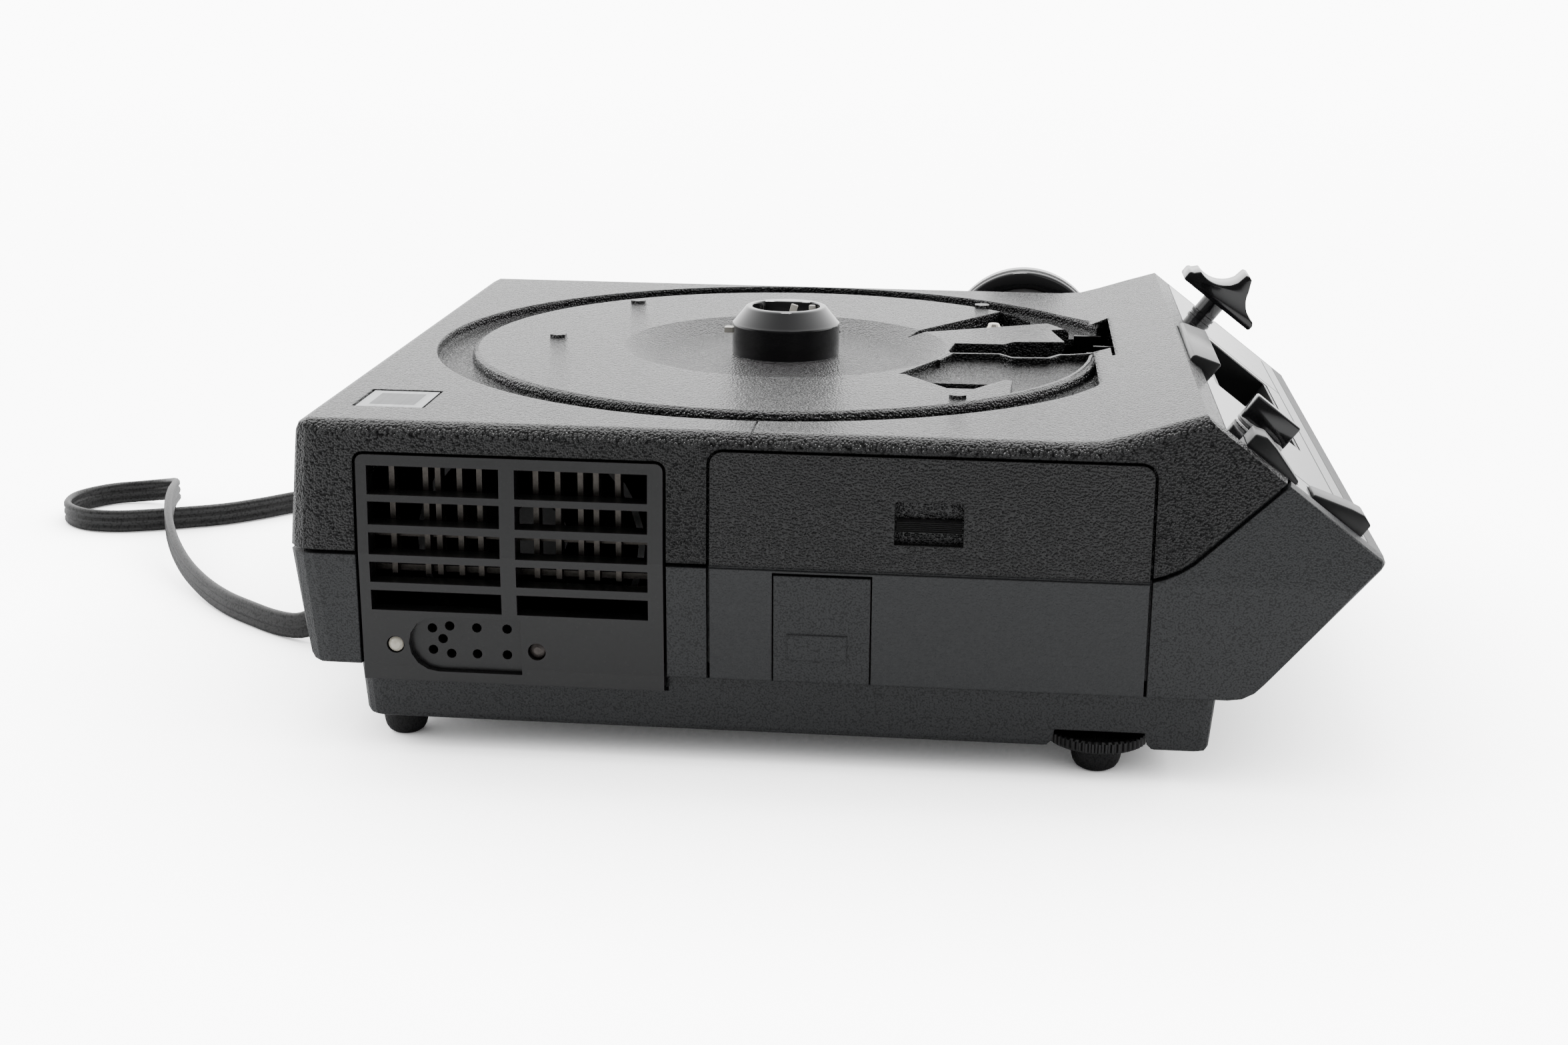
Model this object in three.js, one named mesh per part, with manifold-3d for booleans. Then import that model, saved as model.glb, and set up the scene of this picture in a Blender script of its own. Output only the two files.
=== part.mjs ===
// A rotary-tray slide projector with its tray lifted off.
// Millimetres, +Z up. The tray well's axis is the design axis; the last lines move the
// whole model so that its frame stands at the middle of its box, on the table.

import * as THREE from 'three';
import { mergeVertices } from 'three/addons/utils/BufferGeometryUtils.js';
import Module from 'manifold-3d';

const wasm = await Module();
wasm.setup();

// ---------------------------------------------------------------- driving dimensions

const WALL = 3;                 // moulded shell wall
const GAP = 0.4;                // clearance between pieces that touch
const LINE = 1.0;               // shadow gap round doors and inserts
const TOP = 112;                // top surface above the table
const SEAM = 69.3;              // joint between the upper and lower housings
const STEP = 31;                // underside of the lower housing
const BASE_Z = 11.8;               // underside of the base pan
const LEFT = -145;              // left wall at the seam
const REAR = -148;              // rear face at the seam
const FRONT = 134;              // front face
const RAMP = 104;               // where the top begins to rise to the panel
const RIDGE = [142.8, 121.8];   // panel's upper edge, x and z
const NOSE = [198.2, 79.6];     // panel's lower edge, x and z
const EDGE = 4.5;               // rounding of the upper edges
const ROLL = 5;                 // rounding of the upper edge on the door side
const CORNER = 10;              // rounding of the left corners in plan

const WELL_R = 128;             // tray well's outer wall
const PLATFORM_R = 115.5;       // platform the tray turns on
const GROOVE = 4;               // depth of the ring groove between them
const PAD_Z = 105;              // underside of the well's stiffened floor
const DISH = { top: 60, floor: 46, depth: 3.5 };
const HUB = { r: 19.9, shoulder: 120.6, topR: 14.7, top: 126.5 };

const OPTIC = [89, 84];         // optical axis, x and z
const LENS_R = 20;              // lens barrel
const LENS_RING_R = 33;         // lens front ring
const LENS_PROUD = 34;          // the lens beyond the front face
const LENS_FRONT = FRONT + LENS_PROUD;

const GRILLE = { x0: -121.5, x1: -23.5, z0: 26.5, z1: 101.5, r: 2.4 };
const DOOR = { x0: -8.8, x1: 128, z0: 31.1, z1: 106, thick: WALL + 0.7, r: 4 };
const FLAP = { x0: 11.5, x1: 42, z1: 67, thick: 2.2 };
const LATCH = { x0: 49, x1: 70.4, z0: 78.4, z1: 92.2, depth: 2.3, r: 1 };
const BASE = { x0: -125, x1: 151, y0: -143, y1: 127 };
const FAN = { x: -72, z: 66, r: 34, y0: -112, y1: -84 };
const CORD_R = 5;               // half the width of the flat cord

// ---------------------------------------------------------------- small tools

const up = new THREE.Vector3(0, 0, 1);

function solid(geometry) {
  const bare = geometry.clone();
  bare.deleteAttribute('normal');
  bare.deleteAttribute('uv');
  const merged = mergeVertices(bare, 1e-4);
  const position = merged.attributes.position.array;
  const index = Array.from(merged.index.array);
  let volume = 0;
  const a = new THREE.Vector3();
  const b = new THREE.Vector3();
  const c = new THREE.Vector3();
  for (let i = 0; i < index.length; i += 3) {
    a.fromArray(position, index[i] * 3);
    b.fromArray(position, index[i + 1] * 3);
    c.fromArray(position, index[i + 2] * 3);
    volume += a.dot(b.cross(c));
  }
  if (volume < 0) index.reverse();
  const mesh = { numProp: 3, vertProperties: new Float32Array(position), triVerts: new Uint32Array(index) };
  return new wasm.Manifold(new wasm.Mesh(mesh));
}

function join(...parts) {
  return parts.reduce((whole, part) => whole.add(part));
}

function cut(body, ...tools) {
  return tools.reduce((left, tool) => left.subtract(tool), body);
}

function extruded(points, depth) {
  const shape = new THREE.Shape(points.map(([x, y]) => new THREE.Vector2(x, y)));
  return new THREE.ExtrudeGeometry(shape, { depth, bevelEnabled: false, curveSegments: 8 });
}

// outline in X and Y, standing from z0 to z1
function plate(points, z0, z1) {
  return solid(extruded(points, z1 - z0).translate(0, 0, z0));
}

// outline in X and Z, running from y0 to y1
function rail(points, y0, y1) {
  return solid(extruded(points, y1 - y0).rotateX(Math.PI / 2).translate(0, y1, 0));
}

function box(x0, x1, y0, y1, z0, z1) {
  const geometry = new THREE.BoxGeometry(x1 - x0, y1 - y0, z1 - z0);
  return solid(geometry.translate((x0 + x1) / 2, (y0 + y1) / 2, (z0 + z1) / 2));
}

function turned(profile, segments = 36) {
  const points = profile.map(([r, z]) => new THREE.Vector2(r, z));
  points.push(points[0].clone());
  return new THREE.LatheGeometry(points, segments).rotateX(Math.PI / 2);
}

// turned about the vertical through x, y
function spun(profile, x = 0, y = 0, segments = 36) {
  return solid(turned(profile, segments).translate(x, y, 0));
}

// turned about a line along +Y through x and z: profile is radius and y
function spunY(profile, x, z, segments = 36) {
  return solid(turned(profile, segments).rotateX(-Math.PI / 2).translate(x, 0, z));
}

function rod(r, x, y, z0, z1, segments = 24) {
  return spun([[0, z0], [r, z0], [r, z1], [0, z1]], x, y, segments);
}

function rodY(r, x, z, y0, y1, segments = 24) {
  return spunY([[0, y0], [r, y0], [r, y1], [0, y1]], x, z, segments);
}

function tubeY(inner, outer, x, z, y0, y1, segments = 32) {
  return spunY([[inner, y0], [outer, y0], [outer, y1], [inner, y1]], x, z, segments);
}

// the same closed outline moved in by d on every side
function inset(points, d) {
  const n = points.length;
  const area = points.reduce((sum, [x, y], i) => {
    const [u, v] = points[(i + 1) % n];
    return sum + x * v - u * y;
  }, 0);
  const side = area > 0 ? 1 : -1;
  return points.map((p, i) => {
    const before = points[(i + n - 1) % n];
    const after = points[(i + 1) % n];
    const e1 = new THREE.Vector2(p[0] - before[0], p[1] - before[1]).normalize();
    const e2 = new THREE.Vector2(after[0] - p[0], after[1] - p[1]).normalize();
    const n1 = new THREE.Vector2(-e1.y, e1.x).multiplyScalar(side);
    const n2 = new THREE.Vector2(-e2.y, e2.x).multiplyScalar(side);
    const mid = n1.clone().add(n2);
    const reach = d / Math.max(mid.dot(n1), 0.6);
    return [p[0] + mid.x * reach, p[1] + mid.y * reach];
  });
}

// closed loft through rings of equal length, stacked along one axis (0, 1 or 2)
function loftAlong(axis, rings) {
  const n = rings[0].length;
  const positions = rings.flat(2);
  const index = [];
  for (let r = 0; r + 1 < rings.length; r += 1) {
    for (let i = 0; i < n; i += 1) {
      const j = (i + 1) % n;
      const a = r * n + i;
      const b = r * n + j;
      index.push(a, b, a + n, b, b + n, a + n);
    }
  }
  const flat = rings[0].map((p) => new THREE.Vector2(...p.filter((v, k) => k !== axis)));
  const turn = Math.sign(THREE.ShapeUtils.area(flat));
  const last = (rings.length - 1) * n;
  for (const face of THREE.ShapeUtils.triangulateShape(flat, [])) {
    const same = Math.sign(THREE.ShapeUtils.area(face.map((i) => flat[i]))) === turn;
    const [a, b, c] = same ? face : [...face].reverse();
    index.push(a, c, b, last + a, last + b, last + c);
  }
  const geometry = new THREE.BufferGeometry();
  geometry.setAttribute('position', new THREE.Float32BufferAttribute(positions, 3));
  geometry.setIndex(index);
  return solid(geometry);
}

function arc(cx, cy, r, from, to, steps) {
  return Array.from({ length: steps + 1 }, (_, i) => {
    const t = THREE.MathUtils.degToRad(from + ((to - from) * i) / steps);
    return [cx + r * Math.cos(t), cy + r * Math.sin(t)];
  });
}

// the sloping panel has its own frame: s runs down the slope, y back to front, n outwards
const slope = Math.atan2(RIDGE[1] - NOSE[1], NOSE[0] - RIDGE[0]);
const downSlope = new THREE.Vector3(Math.cos(slope), 0, -Math.sin(slope));
const outward = new THREE.Vector3(Math.sin(slope), 0, Math.cos(slope));
const panelFrame = new THREE.Matrix4()
  .makeBasis(downSlope, new THREE.Vector3(0, 1, 0), outward)
  .setPosition(RIDGE[0], 0, RIDGE[1]);

function onPanel(part) {
  return part.transform(panelFrame.elements);
}

const scene = new THREE.Group();

function add(name, part, color, roughness = 0.5, metalness = 0) {
  const mesh = part.getMesh();
  const geometry = new THREE.BufferGeometry();
  const positions = Array.from(mesh.vertProperties);
  geometry.setAttribute('position', new THREE.Float32BufferAttribute(positions, 3));
  geometry.setIndex(Array.from(mesh.triVerts));
  geometry.computeVertexNormals();
  const material = new THREE.MeshStandardMaterial({ color, roughness, metalness });
  const node = new THREE.Mesh(geometry, material);
  node.name = name;
  scene.add(node);
}

// ---------------------------------------------------------------- outer body

const leftTop = LEFT + 3.7;
const profile = [
  [leftTop - 0.4, TOP - EDGE], [leftTop + 0.9, TOP - 1.4], [leftTop + EDGE - 0.8, TOP],
  [RAMP, TOP], [RAMP + 8, TOP + 0.6], [RAMP + 16, TOP + 2.8], [RAMP + 27, TOP + 6.3], RIDGE,
  NOSE, [NOSE[0] + 0.8, NOSE[1] - 2], [NOSE[0] - 0.2, NOSE[1] - 4],
  [165.5, STEP + 6], [162.5, STEP + 2.8], [158.5, STEP + 0.6], [154, STEP],
  [LEFT + 9.5, STEP], [LEFT + 6.6, STEP + 1], [LEFT + 5.4, STEP + 3], [LEFT, SEAM],
];

// the same outline with square corners, for the hollow inside
const core = [[leftTop, TOP], [RAMP, TOP], [RAMP + 16, TOP + 2.8], RIDGE, NOSE, [162, STEP], [LEFT + 6, STEP], [LEFT, SEAM]];

function ringY(points, y) {
  return points.map(([x, z]) => [x, y, z]);
}

function plan(x0, x1, y0, y1, r, z) {
  return [
    ...arc(x0 + r, y0 + r, r, 180, 270, 4), ...arc(x1 - 2.5, y0 + 2.5, 2.5, 270, 360, 2),
    ...arc(x1 - 2.5, y1 - 2.5, 2.5, 0, 90, 2), ...arc(x0 + r, y1 - r, r, 90, 180, 4),
  ].map(([x, y]) => [x, y, z]);
}

// the top of the outline lowered, with the ridge sliding down the panel's slope
function dropped(points, drop) {
  const slope = (NOSE[0] - RIDGE[0]) / (RIDGE[1] - NOSE[1]);
  return points.map(([x, z], i) => {
    if (i > 7) return [x, z];
    return i === 7 ? [x + drop * slope, z - drop] : [x, z - drop];
  });
}

// the body moved in by d, used for the outside and for the hollow
function bodyForm(d) {
  const line = d > 0 ? core : profile;
  // the upper edge on the door side is rolled over, the other edges are only broken
  const rolled = d > 0 ? [] : [80, 60, 42, 26, 12].map((angle) => {
    const turn = (angle * Math.PI) / 180;
    const y = REAR + 1 + ROLL * (1 - Math.sin(turn));
    const eased = EDGE * 0.16 * Math.max(0, (REAR + EDGE - y) / (EDGE - 1.2));
    return ringY(dropped(inset(line, eased), ROLL * (1 - Math.cos(turn)) - eased), y);
  });
  const start = d > 0 ? [ringY(inset(line, d + EDGE * 0.55), REAR - 1 + d), ringY(inset(line, d + EDGE * 0.16), REAR + 1.2 + d),
    ringY(inset(line, d), REAR + EDGE + d)]
    : [ringY(dropped(inset(line, EDGE * 0.55), ROLL), REAR - 1), ...rolled, ringY(line, REAR + 1 + ROLL)];
  const long = loftAlong(1, [
    ...start,
    ringY(inset(line, d), FRONT - EDGE - d),
    ringY(inset(line, d + EDGE * 0.16), FRONT - 1.2 - d),
    ringY(inset(line, d + EDGE * 0.55), FRONT + 1 - d),
  ]);
  const x0 = LEFT - 1 + d;
  const x1 = NOSE[0] + 3 - d;
  const r = Math.max(CORNER - d, 2);
  const walls = loftAlong(2, [
    plan(x0 + 4, x1, REAR + 2 + d, FRONT - 1 - d, r, STEP - 5),
    plan(x0, x1, REAR + d, FRONT - d, r, SEAM),
    plan(x0 + 3.5, x1, REAR + 1.6 + d, FRONT - 1.4 - d, r, TOP + 15),
  ]);
  return long.intersect(walls);
}

const outer = bodyForm(0);
const hollow = bodyForm(WALL);

// everything above the seam: it turns up at the right and meets the panel's middle
const seamLine = [
  [122, SEAM], ...arc(122, SEAM + 30, 30, -78, -42, 4), [168.1, 101.8], [176, 112],
];
const above = [[LEFT - 10, SEAM], ...seamLine, [176, 140], [LEFT - 10, 140]];
const below = [[LEFT - 10, SEAM], ...seamLine, [230, 112], [230, 0], [LEFT - 10, 0]];
const aboveSeam = rail(inset(above, 0.7), REAR - 5, FRONT + 5);
const belowSeam = rail(inset(below, 0.7), REAR - 5, FRONT + 5);
const lipCore = bodyForm(WALL + 2);
const lipLine = [[LEFT - 10, SEAM - 6], ...seamLine.map(([x, z]) => [x + 3, z - 5]),
  ...seamLine.map(([x, z]) => [x - 3, z + 4]).reverse(), [LEFT - 10, SEAM + 4]];
const lipZone = rail(lipLine, REAR, FRONT);

// openings in the rear wall and the open underside
function rearBox(area, grow, y0, y1) {
  const r = Math.max(area.r + grow, 0.6);
  const [left, right, top] = [area.x0 - grow, area.x1 + grow, area.z1 + grow];
  return rail([[left, area.z0 - grow], [right, area.z0 - grow],
    ...arc(right - r, top - r, r, 0, 90, 4), ...arc(left + r, top - r, r, 90, 180, 4)], y0, y1);
}
const rearIn = REAR + WALL + 1.2;
const grilleHole = rearBox(GRILLE, LINE, REAR - 5, REAR + 8);
const doorHole = rearBox(DOOR, LINE, REAR - 5, rearIn - 0.2);
const doorway = rearBox(DOOR, -3.5, REAR - 5, REAR + 16);
const doorFoot = box(DOOR.x0 - LINE, DOOR.x1 + LINE, REAR - 5, REAR + 12, DOOR.z0 - LINE, DOOR.z0 + 5);
const doorFrame = rearBox(DOOR, 5, rearIn, rearIn + 2).intersect(outer);
const underside = box(BASE.x0 + 6, BASE.x1 - 6, BASE.y0 + 6, BASE.y1 - 6, STEP - 2, STEP + 8);
// the lower housing's lip stands behind the upper wall and keeps the seam dark
const seamLip = join(
  cut(bodyForm(WALL - 0.5), lipCore).intersect(lipZone).intersect(belowSeam),
  cut(bodyForm(WALL + GAP), lipCore, rearBox(DOOR, 7, REAR - 5, REAR + 12), rearBox(GRILLE, 2, REAR - 5, REAR + 12))
    .intersect(lipZone),
);

// ---------------------------------------------------------------- panel openings

const PLATE = { s0: 7.5, s1: 63.5, y0: -142, y1: 127 };
const WELL = { s0: 13, s1: 50, y0: -58, y1: 50, depth: 17 };
const SELECT = { s0: 2, s1: 11.8, y0: -50, y1: 12 };
const FOCUS = { s: 22, y: 100, r: 4.8 };
const MODE = { s: 25, y: -103, r: 9 };
const STEPPER = { y0: -139, y1: -127 };
const FORWARD = { s0: 16, s1: 36 };
const REVERSE = { s0: 42, s1: 62 };

function slab(s0, s1, y0, y1, n0, n1) {
  return onPanel(box(s0, s1, y0, y1, n0, n1));
}

function panelRod(r, s, y, n0, n1, segments = 32) {
  return onPanel(rod(r, s, y, n0, n1, segments));
}

const plateRecess = slab(PLATE.s0 - GAP, PLATE.s1 + GAP, PLATE.y0 - GAP, PLATE.y1 + GAP, -1.3, 3);
function panelHoles(grow) {
  return [
    slab(WELL.s0 - grow, WELL.s1 + grow, WELL.y0 - grow, WELL.y1 + grow, -6, 4),
    slab(SELECT.s0 - grow, SELECT.s1 + grow, SELECT.y0 - grow, SELECT.y1 + grow, -8, 6),
    panelRod(FOCUS.r + grow, FOCUS.s, FOCUS.y, -8, 3),
    panelRod(3 + grow, MODE.s, MODE.y, -8, 3),
    slab(FORWARD.s0 - grow, FORWARD.s1 + grow, STEPPER.y0 - grow, STEPPER.y1 + grow, -8, 3),
    slab(REVERSE.s0 - grow, REVERSE.s1 + grow, STEPPER.y0 - grow, STEPPER.y1 + grow, -8, 3),
  ];
}

// ---------------------------------------------------------------- top of the upper housing

function ringCut(r0, r1, z0, z1) {
  return spun([[r0, z0], [r1, z0], [r1, z1], [r0, z1]], 0, 0, 72);
}

const gateFloor = TOP - 2.8;
const stiffener = join(
  ringCut(PLATFORM_R - 3, WELL_R + 2.6, PAD_Z, TOP - 0.5),
  rod(DISH.top + 4, 0, 0, PAD_Z, TOP - 0.5, 64),
  plate([[38, 20], [78, 96], [126, 62], [138, 30], [134, -32], [98, -76], [40, -78]], PAD_Z, TOP - 0.5),
).intersect(outer);

const groove = spun([
  [PLATFORM_R, TOP - GROOVE], [WELL_R - 0.6, TOP - GROOVE], [WELL_R, TOP - GROOVE + 1],
  [WELL_R, TOP - 0.8], [WELL_R + 1, TOP + 1], [PLATFORM_R - 2.4, TOP + 1],
  [PLATFORM_R - 2.2, TOP], [PLATFORM_R - 0.7, TOP - 0.7], [PLATFORM_R, TOP - 2.2],
], 0, 0, 72);
const dish = spun([
  [0, TOP - DISH.depth], [DISH.floor, TOP - DISH.depth], [DISH.top, TOP], [DISH.top, TOP + 2], [0, TOP + 2],
], 0, 0, 64);

// pocket with a pointed front wall beside the gate
const pocket = plate([[44, 29], [79, 81.5], [103, 60.5], [57, 35.5]], PAD_Z + 1.4, TOP + 3);
// opening that the slide drops through, and the bay beside it for the levers
const SLOT = [[60.5, -4], [62.5, 11], [80.5, 11.5], [84.5, 17], [103.4, 19.5], [98.5, 43.5],
  [110.5, 48.5], [113, 50], [121, 56.5], [129, 53], [134.5, 41], [133.5, 6], [128.5, -10], [124.5, -22],
  [119.5, -17.5], [119.5, -3], [100.8, -4.5], [96.5, -11.2], [84.3, -12.8], [79.5, -6.3], [61.4, -7.4]];
const slotOpening = plate(SLOT, PAD_Z - 8, TOP + 3);
const sunkFloor = plate([[57.5, -20], [61, -8.5], [79.5, -7.6], [84.2, -14.2], [97, -12.6], [101, -5.8],
  [116, -4.4], ...arc(0, 0, PLATFORM_R - 3.4, -4, -42, 8), [84, -54], [44.5, -48.4]], gateFloor, TOP + 3);
const wedgeHole = plate([[47, -49], [84, -49], [71, -70], [62, -70]], PAD_Z + 1, TOP + 3);
const arrow = join(
  plate([[136.8, 42.6], [140.5, 45.5], [140.5, 49], [136.8, 44]], TOP - 1, TOP + 5),
  plate([[136, 36], [145, 41], [136, 40.6]], TOP - 1, TOP + 6),
);
const badgeSeat = box(-128.6, -104.6, -125, -99.4, TOP - 0.9, TOP + 2);
const nick = cut(box(3.7, 4.4, REAR - 3, -WELL_R - 0.5, DOOR.z1 + 2, TOP + 2), outer.translate([0, 0.6, -0.6]));

const gateRib = [
  [[57.2, -21], [61.2, -8.7], [61.6, -7.4], [79.6, -6.2], [84.4, -12.8], [96.7, -11.2], [100.9, -4.3], [119.4, -2.9],
    [119.4, -4.2], [101.6, -5.7], [97.4, -12.6], [83.9, -14.2], [79, -7.6], [62.4, -8.7], [58, -21.4]],
].map((line) => plate(line, PAD_Z + 0.5, TOP))[0];

const upperShell = join(outer.subtract(hollow).intersect(aboveSeam), stiffener,
  doorFrame.intersect(aboveSeam));
// low pads that the tray slides on
const trayPads = [[-68.6, 79.3], [-86.2, 1.7], [71.3, 90.5], [66, -83.9]]
  .map(([x, y]) => rod(3.3, x, y, TOP - 1, TOP + 1.1, 6));
// room for the lens under the tray well
const lensRoom = join(rodY(LENS_R + GAP + 0.2, OPTIC[0], OPTIC[1], 38, 105),
  rodY(LENS_R + 3 + GAP, OPTIC[0], OPTIC[1], 104, FRONT - 10));
const upper = cut(join(cut(upperShell, groove, dish, pocket, sunkFloor), gateRib, ...trayPads),
  lensRoom, slotOpening, wedgeHole, arrow, badgeSeat, nick, grilleHole, doorHole, doorway,
  plateRecess, ...panelHoles(GAP), rodY(LENS_R + 4, OPTIC[0], OPTIC[1], FRONT - 12, FRONT + 4));
add('upper_housing', upper, 0x1c1d1e, 0.55);

const lowerShell = join(cut(outer, hollow, box(-200, 200, -200, 200, 0, STEP)).intersect(belowSeam),
  seamLip, doorFrame.intersect(belowSeam));
const lower = cut(lowerShell, underside, grilleHole, doorHole, doorway, doorFoot, plateRecess, ...panelHoles(GAP),
  slab(WELL.s0 - 3, WELL.s1 + 3, WELL.y0 - 3, WELL.y1 + 3, -WELL.depth - 2, -2),
  rodY(LENS_R + 4, OPTIC[0], OPTIC[1], FRONT - 12, FRONT + 4));
add('lower_housing', lower, 0x27292a, 0.7);

// ---------------------------------------------------------------- base pan and feet

const LEVEL = { x: 115.2, y: -127, r: 16.4, z0: 10.3, z1: 14.3, roof: 18 };
const STAND = { x: 20, y: 100, r: 13 };
const REAR_FOOT = { x: -115, y: -122, r: 7.6 };
const EXIT = { y: -40, z: 20 };

const pan = cut(
  loftAlong(2, [plan(BASE.x0 + 3.4, BASE.x1 - 3.4, BASE.y0 + 2.9, BASE.y1 - 2.9, 5, BASE_Z),
    plan(BASE.x0 + 2.05, BASE.x1 - 2.05, BASE.y0 + 1.55, BASE.y1 - 1.55, 6, BASE_Z + 0.7),
    plan(BASE.x0 + 1.4, BASE.x1 - 1.4, BASE.y0 + 0.95, BASE.y1 - 0.95, 6.5, BASE_Z + 2.2),
    plan(BASE.x0, BASE.x1, BASE.y0, BASE.y1, 7, STEP - GAP)]),
  box(BASE.x0 + WALL + 1.5, BASE.x1 - WALL - 1.5, BASE.y0 + WALL + 1.5, BASE.y1 - WALL - 1.5, BASE_Z + 0.9, STEP + 1),
);
const levelBlock = box(LEVEL.x - 18, LEVEL.x + 18, BASE.y0 + 3, LEVEL.y + 18, LEVEL.roof + 0.1, STEP - 2);
const bayHalf = [[19.4, BASE_Z - 1], [16.6, BASE_Z + 0.6], [15, BASE_Z + 2.4], [14.2, LEVEL.roof]];
const wheelBay = rail([...bayHalf.map(([x, z]) => [LEVEL.x + x, z]),
  ...bayHalf.map(([x, z]) => [LEVEL.x - x, z]).reverse()], BASE.y0 - 2, LEVEL.y + 8);
add('base_pan', cut(join(pan, levelBlock, rod(8, STAND.x, STAND.y, BASE_Z + 0.3, 28)), wheelBay,
  rod(4.3, LEVEL.x, LEVEL.y, 0, 40), rod(4.4, STAND.x, STAND.y, 0, 40),
  rod(LEVEL.r + 0.9, LEVEL.x, LEVEL.y, BASE_Z - 1, LEVEL.roof), grilleHole,
  box(BASE.x0 - 2, BASE.x0 + WALL + 1, EXIT.y - 5.4, EXIT.y + 5.4, EXIT.z - 3.4, EXIT.z + 3.4)), 0x232526, 0.75);

function knurled(r, depth, count) {
  return Array.from({ length: count * 2 }, (_, i) => {
    const t = (Math.PI * i) / count;
    const reach = i % 2 ? r - depth : r;
    return [reach * Math.cos(t), reach * Math.sin(t)];
  });
}

function moved(points, x, y) {
  return points.map(([u, v]) => [u + x, v + y]);
}

add('level_wheel', plate(moved(knurled(LEVEL.r, 0.9, 34), LEVEL.x, LEVEL.y), LEVEL.z0, LEVEL.z1)
  .subtract(rod(4.3, LEVEL.x, LEVEL.y, 0, 40)), 0x151515, 0.6);
add('level_foot', spun([[0, 0], [4.4, 0], [6.6, 1], [7.8, 2.8], [8.2, 5], [8.2, 9.4], [4, 9.8], [4, 27], [0, 27]],
  LEVEL.x, LEVEL.y, 32), 0x141414, 0.8);
add('rear_foot', spun([[0, 0], [3.6, 0], [5.6, 0.9], [6.9, 2.9], [7.5, 6], [REAR_FOOT.r, BASE_Z - GAP], [0, BASE_Z - GAP]],
  REAR_FOOT.x, REAR_FOOT.y, 32), 0x151515, 0.85);
add('stand_wheel', plate(moved(knurled(STAND.r, 0.9, 28), STAND.x, STAND.y), 6.4, BASE_Z - GAP)
  .subtract(rod(4.4, STAND.x, STAND.y, 0, 40)), 0x151515, 0.6);
add('stand_foot', spun([[0, 0], [9, 0], [10, 1.2], [10, 3.2], [4, 4.2], [4, 27.5], [0, 27.5]],
  STAND.x, STAND.y, 32), 0x141414, 0.8);

// ---------------------------------------------------------------- rear vent

const ROWS = [[88.6, 98], [78.8, 86.3], [69, 76.2], [59.7, 66.5], [50.3, 57]];
const COLUMNS = [[-118, -75.6], [-70.6, -28.4]];
const grilleFace = outer.intersect(rearBox(GRILLE, 0, REAR - 4, REAR + 7.6));
const baseApron = box(GRILLE.x0, GRILLE.x1, REAR + 1.9, REAR + 7.6, GRILLE.z0, STEP + 6);
const vents = ROWS.flatMap(([z0, z1]) => COLUMNS.map(([x0, x1]) => box(x0, x1, REAR - 5, REAR + 9, z0, z1)));
const socketShape = [...arc(-97, 39.2, 9.4, 90, 270, 8), [-69.6, 29.8], [-69.6, 48.6]];
const socketHoles = [[-99.3, 43.7], [-93.6, 44.6], [-84.7, 44.3], [-74.8, 44.3], [-95.9, 40.2],
  [-99.2, 36.4], [-93.2, 35.3], [-84.7, 35.5], [-74.9, 35.6]];
const STUD = [-110.8, 38.6];
const SCREW = [-64.6, 38];
add('vent_grille', cut(join(grilleFace, baseApron), ...vents,
  rail(socketShape, REAR - 5, REAR + 4.4),
  ...socketHoles.map(([x, z]) => rodY(1.6, x, z, REAR - 5, REAR + 9, 12)),
  rodY(2.9, ...STUD, REAR - 5, REAR + 9, 24), rodY(2.9, ...SCREW, REAR - 5, REAR + 9, 24)), 0x1b1c1d, 0.6);
const vanes = [-112, -101, -97, -90, -83.6, -65.4, -58.3, -51, -46, -39];
add('vent_guard', join(
  box(GRILLE.x0 + 2, GRILLE.x1 - 2, REAR + 12, REAR + 14, 60.5, 62.5),
  box(GRILLE.x0 + 2, GRILLE.x1 - 2, REAR + 12, REAR + 14, 98.5, 100.5),
  box(GRILLE.x0 + 2, GRILLE.x1 - 2, REAR + 12, REAR + 14, 72, 73.5),
  ...vanes.map((x) => box(x - 0.9, x + 0.9, REAR + 8.6, REAR + 14, 60.5, 100.5))), 0x2a2b2c, 0.7);
add('lamp_stud', spunY([[0, REAR + 0.8], [1.5, REAR + 1.1], [2.5, REAR + 2.1], [2.5, REAR + 7], [0, REAR + 7]],
  ...STUD, 24), 0xc9bfae, 0.4);
add('vent_screw', spunY([[0, REAR + 2.6], [1.2, REAR + 2.6], [2.5, REAR + 3], [2.5, REAR + 7], [0, REAR + 7]],
  ...SCREW, 24), 0x202020, 0.5, 0.3);

// ---------------------------------------------------------------- rear door

const doorForm = outer.intersect(rearBox(DOOR, 0, REAR - 4, REAR + DOOR.thick));
const flapHole = box(FLAP.x0 - 0.5, FLAP.x1 + 0.5, REAR - 5, REAR + 8, DOOR.z0 - 3, FLAP.z1 + 0.9);
// the moulded line that carries the case's seam across the door
const doorSeam = outer.subtract(bodyForm(0.7)).intersect(
  box(DOOR.x0 - 1, DOOR.x1 + 1, REAR - 5, REAR + 3, SEAM - 0.7, SEAM + 0.4));
add('lamp_door', cut(doorForm, flapHole, doorSeam,
  rearBox(LATCH, 0, REAR - 5, REAR + 0.6 + LATCH.depth)), 0x1e1f20, 0.6);
add('reading_flap', join(
  outer.intersect(box(FLAP.x0, FLAP.x1, REAR - 4, REAR + FLAP.thick, DOOR.z0, FLAP.z1)),
  outer.translate([0, -0.5, 0]).intersect(box(15.8, 34.8, REAR - 4, REAR + 2.4, 39, 47.6))), 0x27292a, 0.7);
const grip = [[82.2, 1.9], [82.2, 1.2], ...Array.from({ length: 6 }, (_, i) => [
  [82.5 + i * 0.62, 0.2], [82.8 + i * 0.62, 0.55]]).flat(), [86.3, 0.2], [86.6, 1.2], [86.6, 1.9]];
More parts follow.
